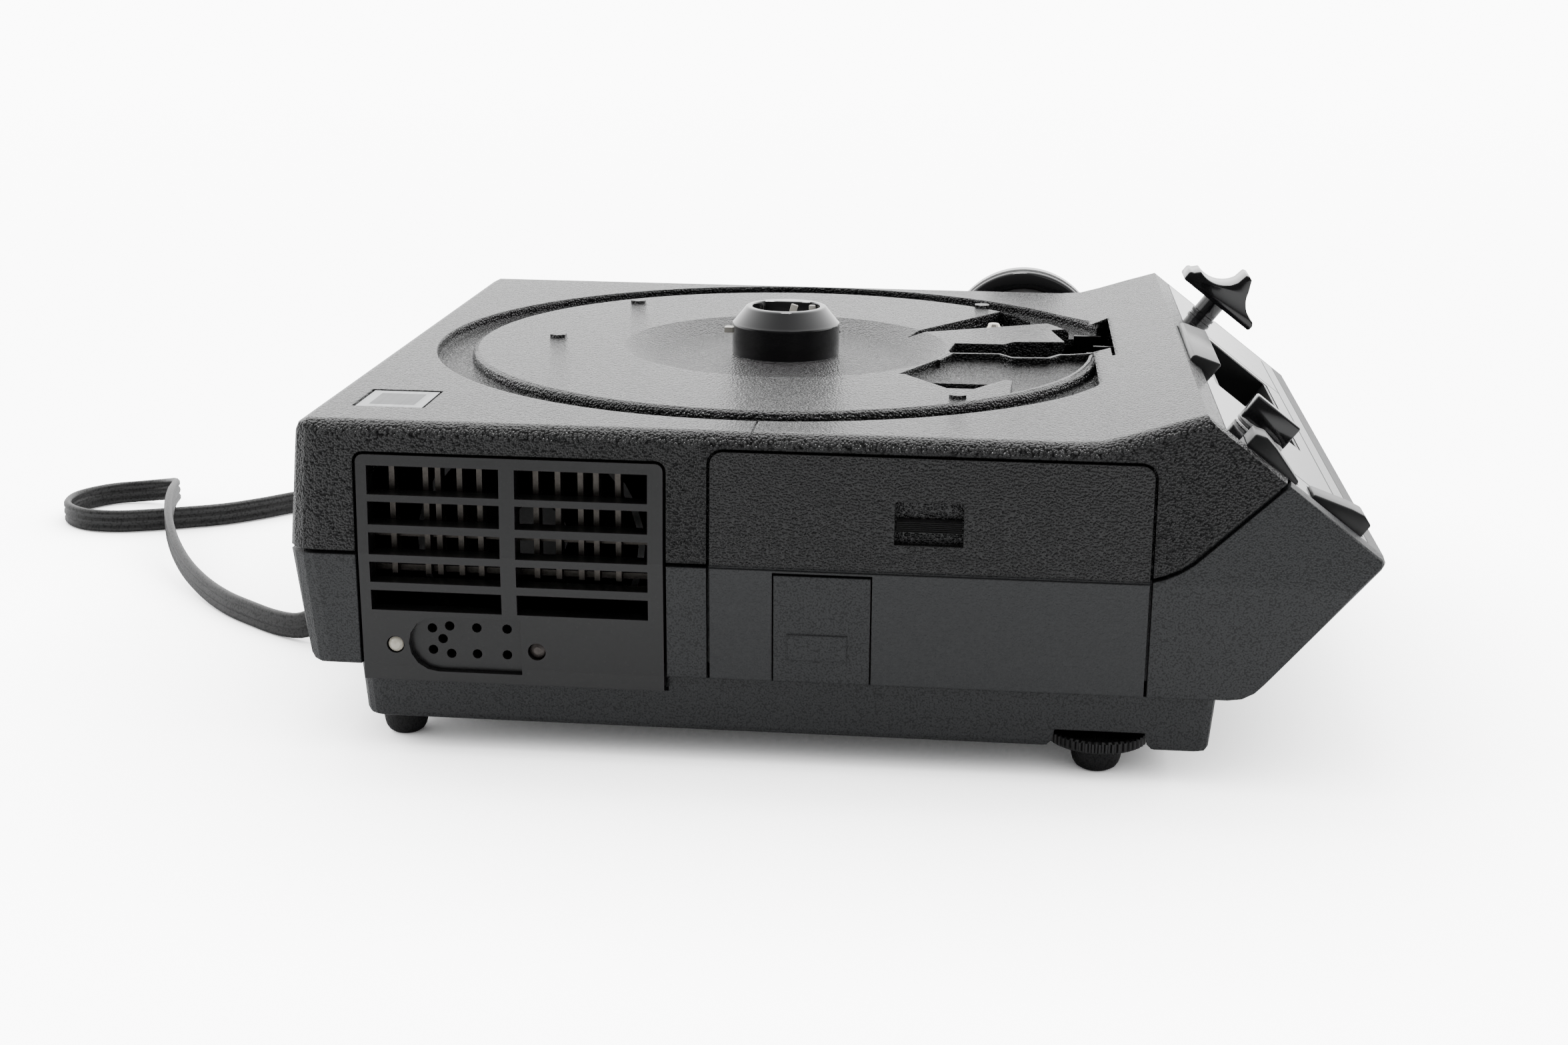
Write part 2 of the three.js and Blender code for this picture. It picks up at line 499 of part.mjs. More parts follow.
const gripShape = grip.map(([z, y]) => [REAR + 0.8 + y, z]);
add('door_latch', solid(extruded(gripShape, LATCH.x1 - LATCH.x0 - 1)
  .applyMatrix4(new THREE.Matrix4().makeBasis(new THREE.Vector3(0, 1, 0), up, new THREE.Vector3(1, 0, 0)))
  .translate(LATCH.x0 + 0.5, 0, 0)), 0x161616, 0.35);

// ---------------------------------------------------------------- tray well pieces

const hubFloor = TOP - DISH.depth + GAP;
const hubBore = plate([[-11.5, -5.5], [-8, -8], [8, -8], [11.5, -5.5], [11.5, 6], [8.5, 8], [-8.5, 8], [-11.5, 6]],
  TOP + 1, HUB.top + 2);
add('tray_hub', cut(
  spun([[0, hubFloor], [HUB.r, hubFloor], [HUB.r, HUB.shoulder], [HUB.topR, HUB.top], [0, HUB.top]], 0, 0, 64),
  hubBore, box(-25, 25, 10.5, 30, HUB.shoulder, HUB.top + 2), box(17.2, 25, 3, 8, 116, HUB.top + 2),
  box(-25, -9, -2.4, 2.4, 115.6, 118.6)), 0x0c0c0c, 0.2);
add('tray_key', join(box(-22.8, -10, -1.9, 1.9, 116, 118), box(-11, -9.4, -4.4, 4.4, TOP + 1.5, 118)), 0xe6e3dc, 0.5);
add('hub_spring', box(1.6, 4.4, -7.4, 7.4, TOP + 1.4, TOP + 9), 0xe3e0d8, 0.5);
add('gate_pin', spun([[0, PAD_Z + 1.8], [2.6, PAD_Z + 1.8], [2.6, TOP - 3.6], [3.6, TOP - 3.4], [2, TOP - 0.6], [0, TOP - 0.6]],
  76.5, 57.5, 16), 0xd8cdb8, 0.25, 1);
add('badge_plate', box(-127.6, -105.6, -124, -100.4, TOP - 0.6, TOP - 0.2), 0x9a9b9c, 0.35, 0.6);

// ---------------------------------------------------------------- slide gate and levers

add('gate_frame', cut(join(
  box(58, 120.5, -3.4, -1.4, 52, 103), box(58, 60.4, -3.4, 8, 52, 103), box(118.1, 120.5, -3.4, 8, 52, 103),
  box(58, 120.5, -3.4, 8, 52, 54.4)),
  box(OPTIC[0] - 18, OPTIC[0] + 18, -6, 0, OPTIC[1] - 18, OPTIC[1] + 18)), 0x8c8e90, 0.4, 0.9);
add('pressure_plate', cut(box(63.5, 117.5, 5, 6.2, 55, 108.4),
  box(OPTIC[0] - 18, OPTIC[0] + 18, 0, 10, OPTIC[1] - 18, OPTIC[1] + 18)), 0x2c2d2e, 0.4, 0.6);
add('slide_lifter', join(box(111.5, 121.4, 11.4, 12.8, 66, 109.6), box(104, 121.4, 10, 12.8, 64, 66)), 0x303132, 0.4, 0.5);
add('index_lever', join(box(114.4, 128.6, 24, 25.4, 84, 109.8), box(114.4, 119, 24, 46, 80, 84)), 0x303132, 0.4, 0.5);
add('gate_guide', cut(join(box(107.6, 118, 45.4, 46.8, 92, 109.6), box(112, 118, 45.4, 60, 88, 92)),
  rodY(LENS_R + GAP, OPTIC[0], OPTIC[1], 30, 70, 48)), 0x303132, 0.4, 0.5);
add('shutter_blade', cut(box(70, 108, -7, -6.2, 62, 103), box(80, 98, -9, -5, 60, 74)), 0x777777, 0.4, 0.9);

// ---------------------------------------------------------------- lens

const [ox, oz] = OPTIC;
add('lens_sleeve', tubeY(LENS_R + 0.4, LENS_R + 3, ox, oz, 105, FRONT + 2), 0x1b1b1b, 0.5);
add('lens_barrel', spunY([[LENS_R - 2.5, 40], [LENS_R, 40], [LENS_R, FRONT + 4], [LENS_R + 6, FRONT + 4],
  [LENS_R + 6, FRONT + 17], [LENS_R - 2.5, FRONT + 17]], ox, oz, 36), 0x121212, 0.4);
add('lens_ring', spunY([[LENS_R + 7, FRONT + 17.5], [LENS_RING_R - 1, FRONT + 17.5], [LENS_RING_R, FRONT + 18.5],
  [LENS_RING_R, LENS_FRONT - 1], [LENS_RING_R - 1, LENS_FRONT], [LENS_RING_R - 3, LENS_FRONT],
  [LENS_RING_R - 8, LENS_FRONT - 5], [LENS_R - 2, LENS_FRONT - 5], [LENS_R - 2, FRONT + 18.2],
  [LENS_R + 7, FRONT + 18.2]], ox, oz, 40), 0x1a1a1a, 0.35);
add('front_element', spunY([[0, FRONT + 6], [LENS_R - 3, FRONT + 6], [LENS_R - 3, FRONT + 12], [9, FRONT + 15.2],
  [0, FRONT + 16.2]], ox, oz, 32), 0xbfd0dc, 0.05);
add('rear_element', spunY([[0, 43], [9, 43.8], [LENS_R - 3, 46], [LENS_R - 3, 50], [0, 50]], ox, oz, 32), 0xbfd0dc, 0.05);

// ---------------------------------------------------------------- lamp module

const LAMP = { x0: 63, x1: 115, y0: -124, y1: -30, z0: 50, z1: 103 };
function station(y) {
  return cut(box(LAMP.x0, LAMP.x1, y - 1, y + 1, LAMP.z0, LAMP.z1), rodY(15, ox, oz, y - 3, y + 3));
}
add('lamp_frame', join(box(LAMP.x0, LAMP.x1, LAMP.y0, LAMP.y1, LAMP.z0 - 2, LAMP.z0),
  ...[-77, -61, -47, -33].map(station), box(LAMP.x0, LAMP.x1, LAMP.y0, LAMP.y0 + 2, LAMP.z0 - 2, LAMP.z0 + 12)), 0x9b9d9f, 0.4, 0.9);
add('lamp_reflector', spunY([[5, -112], [7, -112], [14, -106], [18.4, -94], [20.2, -84], [19, -84], [17, -94], [12.6, -104.6], [5, -110]],
  ox, oz, 28), 0xc8ccd0, 0.15, 1);
add('lamp_bulb', spunY([[0, -111], [4, -110], [4.4, -100], [3, -96], [0, -94.6]], ox, oz, 24), 0xe8eef2, 0.05);
add('lamp_socket', cut(box(ox - 13, ox + 13, -123, -112.6, oz - 9, oz + 9), rodY(2.2, ox - 5, oz, -125, -111, 12)), 0xe4ddd0, 0.6);
add('condenser_rear', spunY([[0, -75.4], [18, -73], [18, -67], [0, -67]], ox, oz, 32), 0xcfe0ea, 0.05);
add('heat_glass', rodY(18, ox, oz, -57, -54, 32), 0xb9d8d0, 0.05);
add('condenser_front', spunY([[0, -45.4], [18, -45.4], [18, -41], [0, -37.6]], ox, oz, 32), 0xcfe0ea, 0.05);

// ---------------------------------------------------------------- fan and drive

const { x: fx, z: fz } = FAN;
const struts = [45, 135, 225, 315].map((deg) => {
  const t = THREE.MathUtils.degToRad(deg);
  const bar = new THREE.BoxGeometry(FAN.r - 8, 2, 4).translate((FAN.r + 13) / 2, 0, 0).rotateY(-t);
  return solid(bar.translate(fx, FAN.y1 + 3, fz));
});
add('fan_shroud', join(tubeY(FAN.r + 1.8, FAN.r + 4, fx, fz, FAN.y0 - 6, FAN.y1 + 4), ...struts,
  tubeY(10, 13, fx, fz, FAN.y1 + 2, FAN.y1 + 4)), 0x2c2d2e, 0.7);
const blades = Array.from({ length: 7 }, (_, i) => {
  const blade = new THREE.BoxGeometry(FAN.r - 10, 1.4, 21).rotateX(0.75).translate(FAN.r / 2 + 5, 0, 0);
  return solid(blade.rotateY((i * 2 * Math.PI) / 7).translate(fx, (FAN.y0 + FAN.y1) / 2, fz));
});
add('fan_impeller', join(rodY(10.5, fx, fz, FAN.y0 + 4, FAN.y1 - 3), ...blades), 0x202224, 0.6);
add('fan_motor', join(rodY(9.4, fx, fz, FAN.y1 - 2, FAN.y1 + 5), rodY(21, fx, fz, FAN.y1 + 5, -34)), 0x8f8f8c, 0.45, 0.8);
add('chassis', join(box(BASE.x0 + WALL + 4, BASE.x1 - WALL - 2, -78, BASE.y1 - WALL - 4, 13, 15).subtract(rod(9, STAND.x, STAND.y, 10, 18)), box(fx - 14, fx + 14, -70, -48, 14, fz - 21.4),
  box(ox - 22, ox + 22, -110, -30, 14.4, 17).intersect(box(ox - 22, ox + 22, -78, -30, 0, 40)),
  box(ox - 3, ox + 3, -74, -34, 16, LAMP.z0 - 2.4), box(ox - 3, ox + 3, -3, 6, 14, 51.6),
  box(ox - 5, ox + 5, 104, 112, 14, oz - LENS_R - 3.4)), 0x8a8c8e, 0.45, 0.9);
add('cycle_cam', join(plate(moved(knurled(30, 2, 40), 20, 52), 46, 52), rod(12, 20, 52, 51, 58, 32))
  .subtract(rod(3.4, 20, 52, 40, 60, 24)), 0xe0ddd2, 0.6);
add('cam_post', rod(3, 20, 52, 15.4, 60, 24), 0xa8aaac, 0.3, 1);
add('drive_pinion', join(plate(moved(knurled(9.6, 1.8, 12), -20, 52), 46, 52), rod(2.5, -20, 52, 40, 55, 20)), 0xe0ddd2, 0.6);
add('drive_motor', cut(rod(15, -20, 52, 15.4, 45.4), rod(2.8, -20, 52, 38, 46, 20)), 0x8f8f8c, 0.45, 0.8);
add('solenoid', join(box(-74, -46, 30, 52, 15.4, 38), rod(4, -60, 41, 37, 46, 20)), 0x6f5238, 0.5, 0.4);
add('circuit_board', join(box(-110, -30, 66, 116, 20, 21.6), box(-100, -88, 80, 92, 21, 36),
  box(-70, -50, 84, 100, 21, 30), rod(6, -40, 92, 21, 40, 20),
  box(-106, -102, 70, 74, 15.4, 20.5), box(-38, -34, 70, 74, 15.4, 20.5)), 0x2e5a3a, 0.6);

// ---------------------------------------------------------------- control panel pieces

add('panel_plate', cut(slab(PLATE.s0, PLATE.s1, PLATE.y0, PLATE.y1, -0.9, 0), ...panelHoles(GAP)), 0x0d0d0e, 0.08);
add('panel_well', cut(slab(WELL.s0, WELL.s1, WELL.y0, WELL.y1, -WELL.depth, -0.2),
  slab(WELL.s0 + 1.5, WELL.s1 - 1.5, WELL.y0 + 1.5, WELL.y1 - 1.5, -WELL.depth + 1.5, 3)), 0x0e0e0f, 0.4);
add('select_bar', onPanel(rail([[SELECT.s0, -3.4], [SELECT.s1, -3.4], [SELECT.s1, 4.6], [SELECT.s1 - 0.7, 5.2],
  [SELECT.s0 + 0.6, 2.4], [SELECT.s0, 1.6]], SELECT.y0, SELECT.y1)), 0x111112, 0.3);
const stepper = (s0, s1, high) => {
  const low = high === s0 ? s1 : s0;
  const dir = Math.sign(low - high);
  return onPanel(rail([[s0, -3.6], [s1, -3.6], ...(high === s0
    ? [[low, 0.9], [high + dir * 8, 4.6], [high + dir * 3.5, 5.5], [high, 4.2]]
    : [[high, 4.2], [high + dir * 3.5, 5.5], [high + dir * 8, 4.6], [low, 0.9]])], STEPPER.y0, STEPPER.y1));
};
add('forward_button', stepper(FORWARD.s0, FORWARD.s1, FORWARD.s0), 0x151516, 0.35);
add('reverse_button', stepper(REVERSE.s0, REVERSE.s1, REVERSE.s1), 0x151516, 0.35);
add('mode_knob', onPanel(join(rod(MODE.r, MODE.s, MODE.y, 0.4, 3, 32), rod(2.8, MODE.s, MODE.y, -9, 1, 20),
  box(MODE.s - 8.8, MODE.s + 8.8, MODE.y - 2.4, MODE.y + 2.4, 2, 10.5))), 0x0d0d0d, 0.15);
const wing = [
  [-17, 0], [16.2, 0], [17, 0.8], [17, 2.6],
  ...arc(17.5, 14.6, 11, -95, -165, 5), [5.2, 15.2], [3.4, 17.2], [1.2, 16.8],
  ...arc(-9.5, 17.5, 11.6, -25, -110, 6), [-15.5, 4.4], [-17, 3.6],
];
add('focus_knob', onPanel(join(rail(wing, -9, 9).translate([FOCUS.s, FOCUS.y, 8.6]),
  rod(FOCUS.r, FOCUS.s, FOCUS.y, -7, 9.4, 32), rod(3, FOCUS.s, FOCUS.y, -40, -6, 20))), 0x0c0c0c, 0.12);
add('focus_pinion', panelRod(7.5, FOCUS.s, FOCUS.y, -46, -40.4, 20), 0xe0ddd2, 0.6);

// ---------------------------------------------------------------- power cord

add('cord_relief', join(
  box(BASE.x0 - 0.8, BASE.x0 + WALL + 0.6, EXIT.y - 5, EXIT.y + 5, EXIT.z - 3, EXIT.z + 3),
  solid(new THREE.CylinderGeometry(3.4, 4.8, 24, 20).rotateZ(Math.PI / 2)
    .translate(BASE.x0 - 12.4, EXIT.y, EXIT.z))), 0x141414, 0.8);
const RUN = [
  [-150.3, -40, 20], [-157, -40.2, 18.8], [-164, -40.6, 15], [-171, -40, 10.2], [-179, -37.6, 6.4],
  [-190, -31.5, 5.2], [-203, -22, 5.2], [-217, -10, 5.2], [-231, 5, 6], [-245, 23, 8], [-257, 42, 11],
  [-267, 62, 14], [-275, 83, 15.7], [-281.5, 104, 15.6], [-288.4, 127, 12.6], [-298, 142, 8.4], [-311, 147, 5.8],
  [-325.5, 141.5, 5.2], [-334.8, 127, 5.2], [-332.5, 110, 5.2], [-320.5, 99, 5.2], [-306, 97, 5.2],
  [-292, 101, 5.2], [-277, 107.5, 5.2], [-262, 115.5, 5.2], [-249, 127, 5.2], [-237, 140, 5.2],
  [-222, 152, 5.2], [-204, 162, 5.2], [-182, 170, 5.2], [-156, 175.4, 5.2], [-128, 177.9, 5.2], [-106, 178.5, 5.2],
];
const COIL = { x: -70, y: 236, r0: 42, r1: 62.6, height: 20.6 };
function cordTube(points, steps) {
  const path = new THREE.CatmullRomCurve3(points.map((p) => new THREE.Vector3(...p)), false, 'centripetal');
  const section = new THREE.Shape(arc(0, 0, CORD_R, 22.5, 337.5, 7).map(([x, y]) => new THREE.Vector2(x, y)));
  return solid(new THREE.ExtrudeGeometry(section, { steps, extrudePath: path, bevelEnabled: false }));
}
add('cord_run', cordTube(RUN, 64), 0x161616, 0.6);
add('cord_coil', spun([[COIL.r0, 0.2], [COIL.r1, 0.2], [COIL.r1, COIL.height], [COIL.r0, COIL.height]],
  COIL.x, COIL.y, 36), 0x161616, 0.6);
const PLUG = { x: -6, y: 178.6 };
add('cord_plug', join(box(PLUG.x, PLUG.x + 26, PLUG.y - 11, PLUG.y + 11, 0.3, 19),
  rod(5.4, 0, 0, 0, 14, 16).rotate([0, -90, 0]).translate([PLUG.x + 1, PLUG.y, 9]),
  rod(CORD_R, 0, 0, 0, 30.4, 12).rotate([0, -90, 0]).translate([PLUG.x + 1, PLUG.y, 9]),
  box(PLUG.x + 25, PLUG.x + 42, PLUG.y - 7.2, PLUG.y - 5.8, 6, 12.4),
  box(PLUG.x + 25, PLUG.x + 42, PLUG.y + 5.8, PLUG.y + 7.2, 6, 12.4)), 0x141414, 0.5);

// ---------------------------------------------------------------- frame at the middle of the box

const bounds = new THREE.Box3();
scene.children.filter((node) => !node.name.startsWith('cord_')).forEach((node) => bounds.expandByObject(node));
const middle = bounds.getCenter(new THREE.Vector3());
scene.position.set(-middle.x, -middle.y, -bounds.min.z);

export default scene;
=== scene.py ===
"""Rotary-tray slide projector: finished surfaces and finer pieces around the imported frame."""
import math

import bmesh
import bpy
from mathutils import Matrix, Vector


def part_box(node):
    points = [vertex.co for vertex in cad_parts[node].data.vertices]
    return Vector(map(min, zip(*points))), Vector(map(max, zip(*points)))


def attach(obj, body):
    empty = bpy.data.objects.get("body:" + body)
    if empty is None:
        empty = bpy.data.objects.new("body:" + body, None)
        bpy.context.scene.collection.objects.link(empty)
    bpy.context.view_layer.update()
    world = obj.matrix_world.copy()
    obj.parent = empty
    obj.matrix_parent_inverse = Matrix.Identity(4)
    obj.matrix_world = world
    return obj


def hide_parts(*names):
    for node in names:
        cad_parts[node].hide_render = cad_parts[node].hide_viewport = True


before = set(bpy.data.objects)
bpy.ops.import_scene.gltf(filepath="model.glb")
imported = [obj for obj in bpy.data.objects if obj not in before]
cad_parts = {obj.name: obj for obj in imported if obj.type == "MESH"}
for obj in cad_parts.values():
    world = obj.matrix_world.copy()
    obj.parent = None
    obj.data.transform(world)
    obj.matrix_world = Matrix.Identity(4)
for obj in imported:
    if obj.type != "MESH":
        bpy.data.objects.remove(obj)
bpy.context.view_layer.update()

bl_info = {
    "name": "Rotary-Tray Slide Projector",
    "version": (1, 0, 0),
    "blender": (4, 5, 0),
    "location": "3D View > Sidebar > Projector",
    "description": "Builds the finished pieces of a slide projector around its packed frame",
    "category": "Object",
}

MM = 0.001
CASE_SEAM_Z = 69.3 * MM


# ---------------------------------------------------------------- sizes and colours

def colour_prop(name, description, default):
    return bpy.props.FloatVectorProperty(
        name=name, description=description, default=default, size=3, subtype="COLOR", min=0.0, max=1.0)


def length_prop(name, description, default):
    return bpy.props.FloatProperty(
        name=name, description=description, default=default, min=0.0, subtype="DISTANCE", unit="LENGTH")


class ProjectorColours(bpy.types.PropertyGroup):
    """Colours of the main finishes"""
    case_top: colour_prop("Upper case", "Moulded plastic of the upper housing", (0.0050, 0.0052, 0.0055))
    case_low: colour_prop("Lower case", "Moulded plastic of the lower housing", (0.0235, 0.0252, 0.0268))
    gloss: colour_prop("Gloss parts", "Polished knobs, hub and panel", (0.007, 0.007, 0.008))
    cord: colour_prop("Cord", "Jacket of the mains cord", (0.022, 0.022, 0.022))
    dust: colour_prop("Dust", "Fine dust lying in the grain", (0.32, 0.31, 0.29))


class ProjectorSizes(bpy.types.PropertyGroup):
    """Sizes of grain and cord"""
    pebble: length_prop("Pebble", "Width of one pebble of the upper case's grain", 0.0008)
    fine: length_prop("Fine grain", "Width of one grain on the lower case", 0.00055)
    cord_width: length_prop("Cord width", "Width of the flat three-core cord", 0.0100)


# ---------------------------------------------------------------- shader node helpers

def group_sockets(group, inputs, outputs):
    """Named inputs with their defaults, and named outputs"""
    for name, kind, value in inputs:
        socket = group.interface.new_socket(name=name, in_out="INPUT", socket_type=kind)
        socket.default_value = value
    for name, kind in outputs:
        group.interface.new_socket(name=name, in_out="OUTPUT", socket_type=kind)


class Graph:
    """Short way to place and join nodes in one tree"""

    def __init__(self, tree):
        self.tree = tree

    def node(self, kind, inputs=None, **settings):
        made = self.tree.nodes.new(kind)
        for key, value in settings.items():
            setattr(made, key, value)
        for key, value in (inputs or {}).items():
            if isinstance(value, bpy.types.NodeSocket):
                self.tree.links.new(value, made.inputs[key])
            else:
                made.inputs[key].default_value = value
        return made

    def maths(self, operation, a, b=0.0, c=0.0, clamp=False):
        return self.node("ShaderNodeMath", {0: a, 1: b, 2: c}, operation=operation, use_clamp=clamp).outputs[0]

    def ramp(self, value, low, high, to_low=0.0, to_high=1.0):
        return self.node("ShaderNodeMapRange", {
            "Value": value, "From Min": low, "From Max": high, "To Min": to_low, "To Max": to_high}).outputs["Result"]

    def blend(self, factor, a, b):
        made = self.node("ShaderNodeMix", data_type="RGBA")
        for index, value in ((0, factor), (6, a), (7, b)):
            if isinstance(value, bpy.types.NodeSocket):
                self.tree.links.new(value, made.inputs[index])
            else:
                made.inputs[index].default_value = value if index == 0 else (*tuple(value)[:3], 1.0)
        return made.outputs[2]

    def noise(self, scale, detail=3.0, rough=0.5, vector=None, distortion=0.0):
        inputs = {"Scale": scale, "Detail": detail, "Roughness": rough, "Distortion": distortion}
        if vector is not None:
            inputs["Vector"] = vector
        return self.node("ShaderNodeTexNoise", inputs).outputs["Fac"]


def new_group(name, inputs, outputs):
    """Empty shader group with its sockets, its graph and its two ends"""
    group = bpy.data.node_groups.new(name, "ShaderNodeTree")
    group_sockets(group, inputs, outputs)
    graph = Graph(group)
    enter = group.nodes.new("NodeGroupInput")
    leave = group.nodes.new("NodeGroupOutput")
    return group, graph, enter, leave


def grain_group():
    """Pebbled mould grain: height of the pebbles and a mask of the valleys between them"""
    group, graph, enter, leave = new_group(
        "mould_grain",
        [("Vector", "NodeSocketVector", (0.0, 0.0, 0.0)), ("Pebbles per metre", "NodeSocketFloat", 900.0),
         ("Raggedness", "NodeSocketFloat", 0.35)],
        [("Height", "NodeSocketFloat"), ("Valley", "NodeSocketFloat")])
    scale = enter.outputs["Pebbles per metre"]
    wobble = graph.node("ShaderNodeTexNoise", {
        "Vector": enter.outputs["Vector"], "Scale": graph.maths("MULTIPLY", scale, 0.7), "Detail": 2.0})
    push = graph.node("ShaderNodeVectorMath", {0: wobble.outputs["Color"], 1: (-0.5, -0.5, -0.5)}, operation="ADD")
    amount = graph.maths("DIVIDE", enter.outputs["Raggedness"], scale)
    scaled = graph.node("ShaderNodeVectorMath", {0: push.outputs[0], "Scale": amount}, operation="SCALE")
    bent = graph.node("ShaderNodeVectorMath", {0: enter.outputs["Vector"], 1: scaled.outputs[0]}, operation="ADD")
    cells = graph.node("ShaderNodeTexVoronoi", {
        "Vector": bent.outputs[0], "Scale": scale, "Smoothness": 0.35}, feature="SMOOTH_F1")
    dome = graph.ramp(cells.outputs["Distance"], 0.1, 0.75, 1.0, 0.0)
    bumps = graph.noise(graph.maths("MULTIPLY", scale, 0.55), 2.0, 0.5, enter.outputs["Vector"])
    height = graph.maths("MULTIPLY_ADD", bumps, 0.55, dome)
    group.links.new(height, leave.inputs["Height"])
    group.links.new(graph.ramp(dome, 0.35, 0.05), leave.inputs["Valley"])
    return group


def wear_group():
    """Handling marks: broad uneven sheen, fine rubs and settled dust on what faces up"""
    group, graph, enter, leave = new_group(
        "handling",
        [("Vector", "NodeSocketVector", (0.0, 0.0, 0.0)), ("Colour", "NodeSocketColor", (0.02, 0.02, 0.02, 1.0)),
         ("Dust colour", "NodeSocketColor", (0.3, 0.3, 0.3, 1.0)), ("Dust", "NodeSocketFloat", 0.2),
         ("Roughness", "NodeSocketFloat", 0.4), ("Spread", "NodeSocketFloat", 0.12)],
        [("Colour", "NodeSocketColor"), ("Roughness", "NodeSocketFloat"), ("Mask", "NodeSocketFloat")])
    vector = enter.outputs["Vector"]
    broad = graph.noise(11.0, 4.0, 0.55, vector)
    rubs = graph.noise(160.0, 5.0, 0.65, vector, 0.6)
    specks = graph.ramp(graph.noise(900.0, 2.0, 0.6, vector), 0.62, 0.74)
    facing = graph.node("ShaderNodeSeparateXYZ", {
        "Vector": graph.node("ShaderNodeNewGeometry").outputs["Normal"]}).outputs["Z"]
    up = graph.ramp(facing, 0.3, 0.95)
    settle = graph.maths("MULTIPLY", up, graph.ramp(broad, 0.38, 0.72, 0.25, 1.0))
    mask = graph.maths("MULTIPLY", graph.maths("MULTIPLY_ADD", specks, 0.5, settle), enter.outputs["Dust"], clamp=True)
    group.links.new(graph.blend(mask, enter.outputs["Colour"], enter.outputs["Dust colour"]), leave.inputs["Colour"])
    swing = graph.maths("SUBTRACT", graph.maths("ADD", broad, rubs), 1.0)
    rough = graph.maths("MULTIPLY_ADD", swing, enter.outputs["Spread"], enter.outputs["Roughness"])
    group.links.new(graph.maths("MULTIPLY_ADD", mask, 0.3, rough, clamp=True), leave.inputs["Roughness"])
    group.links.new(mask, leave.inputs["Mask"])
    return group


GROUPS = {}
MATERIALS = {}
RAGGED = 0.35                       # share of a pebble's width by which the grain wanders
PEBBLE_EDGE = 1.2 * MM              # soft corner of the coarse upper case
FINE_EDGE = 0.6 * MM                # soft corner of the fine-grained parts
DOOR_GRAIN_DEPTH = 0.36 * MM
BRUSH_DEPTH = 0.01 * MM


def shared_group(name):
    """The named group, built the first time that it is asked for"""
    if name not in GROUPS:
        GROUPS[name] = {"mould_grain": grain_group, "handling": wear_group}[name]()
    return GROUPS[name]


def new_material(name):
    """Empty material, kept under its name: its graph, its shader and the piece's own coordinates"""
    material = bpy.data.materials.new(name)
    material.use_nodes = True
    graph = Graph(material.node_tree)
    shader = material.node_tree.nodes["Principled BSDF"]
    place = graph.node("ShaderNodeTexCoord").outputs["Object"]
    MATERIALS[name] = material
    return graph, shader, place


def handled(graph, shader, place, colour, rough, spread=0.1, dust=0.1):
    """Join the shared handling group to a shader's colour and roughness"""
    colours = bpy.context.scene.projector_colours
    base = colour if isinstance(colour, bpy.types.NodeSocket) else (*tuple(colour)[:3], 1.0)
    wear = graph.node("ShaderNodeGroup", node_tree=shared_group("handling"))
    for key, value in (("Vector", place), ("Colour", base), ("Dust colour", (*colours.dust, 1.0)),
                       ("Dust", dust), ("Roughness", rough), ("Spread", spread)):
        if isinstance(value, bpy.types.NodeSocket):
            graph.tree.links.new(value, wear.inputs[key])
        else:
            wear.inputs[key].default_value = value
    graph.tree.links.new(wear.outputs["Colour"], shader.inputs["Base Color"])
    graph.tree.links.new(wear.outputs["Roughness"], shader.inputs["Roughness"])


def bump(graph, shader, height, distance, soft=0.0):
    """Join a height to a shader's normal, with the edges rounded by the soft radius"""
    made = graph.node("ShaderNodeBump", {"Height": height, "Distance": distance})
    if soft:
        rounded = graph.node("ShaderNodeBevel", {"Radius": soft}, samples=4)
        graph.tree.links.new(rounded.outputs["Normal"], made.inputs["Normal"])
    graph.tree.links.new(made.outputs["Normal"], shader.inputs["Normal"])


def grain(graph, place, width):
    """The shared mould grain, with pebbles of the given width"""
    return graph.node("ShaderNodeGroup", {
        "Vector": place, "Pebbles per metre": 1.0 / width, "Raggedness": RAGGED}, node_tree=shared_group("mould_grain"))


def moulded(name, colour, width, depth, rough, spread=0.1, dust=0.1, coat=0.0, soft=0.0, dull=0.36):
    """Moulded plastic with a pebbled skin, its colour darkened in the valleys between pebbles as painted shade"""
    graph, shader, place = new_material(name)
    skin = grain(graph, place, width)
    # painted shade: the colour drops to 0.55 of itself in the valleys of the grain
    tint = graph.blend(skin.outputs["Valley"], colour, tuple(0.55 * c for c in colour))
    handled(graph, shader, place, tint, rough, spread, dust)
    bump(graph, shader, skin.outputs["Height"], depth, soft=soft)
    shine = graph.ramp(skin.outputs["Valley"], 0.0, 1.0, 0.5, dull)
    graph.tree.links.new(shine, shader.inputs["Specular IOR Level"])
    shader.inputs["Coat Weight"].default_value = coat
    shader.inputs["Coat Roughness"].default_value = 0.2


def smooth_plastic(name, colour, rough, dust=0.05, ripple=0.00002, coat=0.0):
    """Polished or satin plastic with the faint ripple of a mould"""
    graph, shader, place = new_material(name)
    handled(graph, shader, place, colour, rough, 0.08, dust)
    bump(graph, shader, graph.noise(260.0, 3.0, 0.5, place), ripple)
    shader.inputs["Coat Weight"].default_value = coat
    shader.inputs["Coat Roughness"].default_value = 0.06


def metal(name, colour, rough, brushed=(1.0, 1.0, 1.0)):
    """Plated or brushed metal; the brush runs along the axis with the small number"""
    graph, shader, place = new_material(name)
    stretch = graph.node("ShaderNodeMapping", {"Vector": place, "Scale": brushed})
    lines = graph.noise(700.0, 4.0, 0.6, stretch.outputs[0])
    tint = graph.blend(graph.ramp(lines, 0.35, 0.7), colour, tuple(0.72 * c for c in colour))
    handled(graph, shader, place, tint, rough, 0.14, 0.04)
    bump(graph, shader, lines, BRUSH_DEPTH)
    shader.inputs["Metallic"].default_value = 1.0


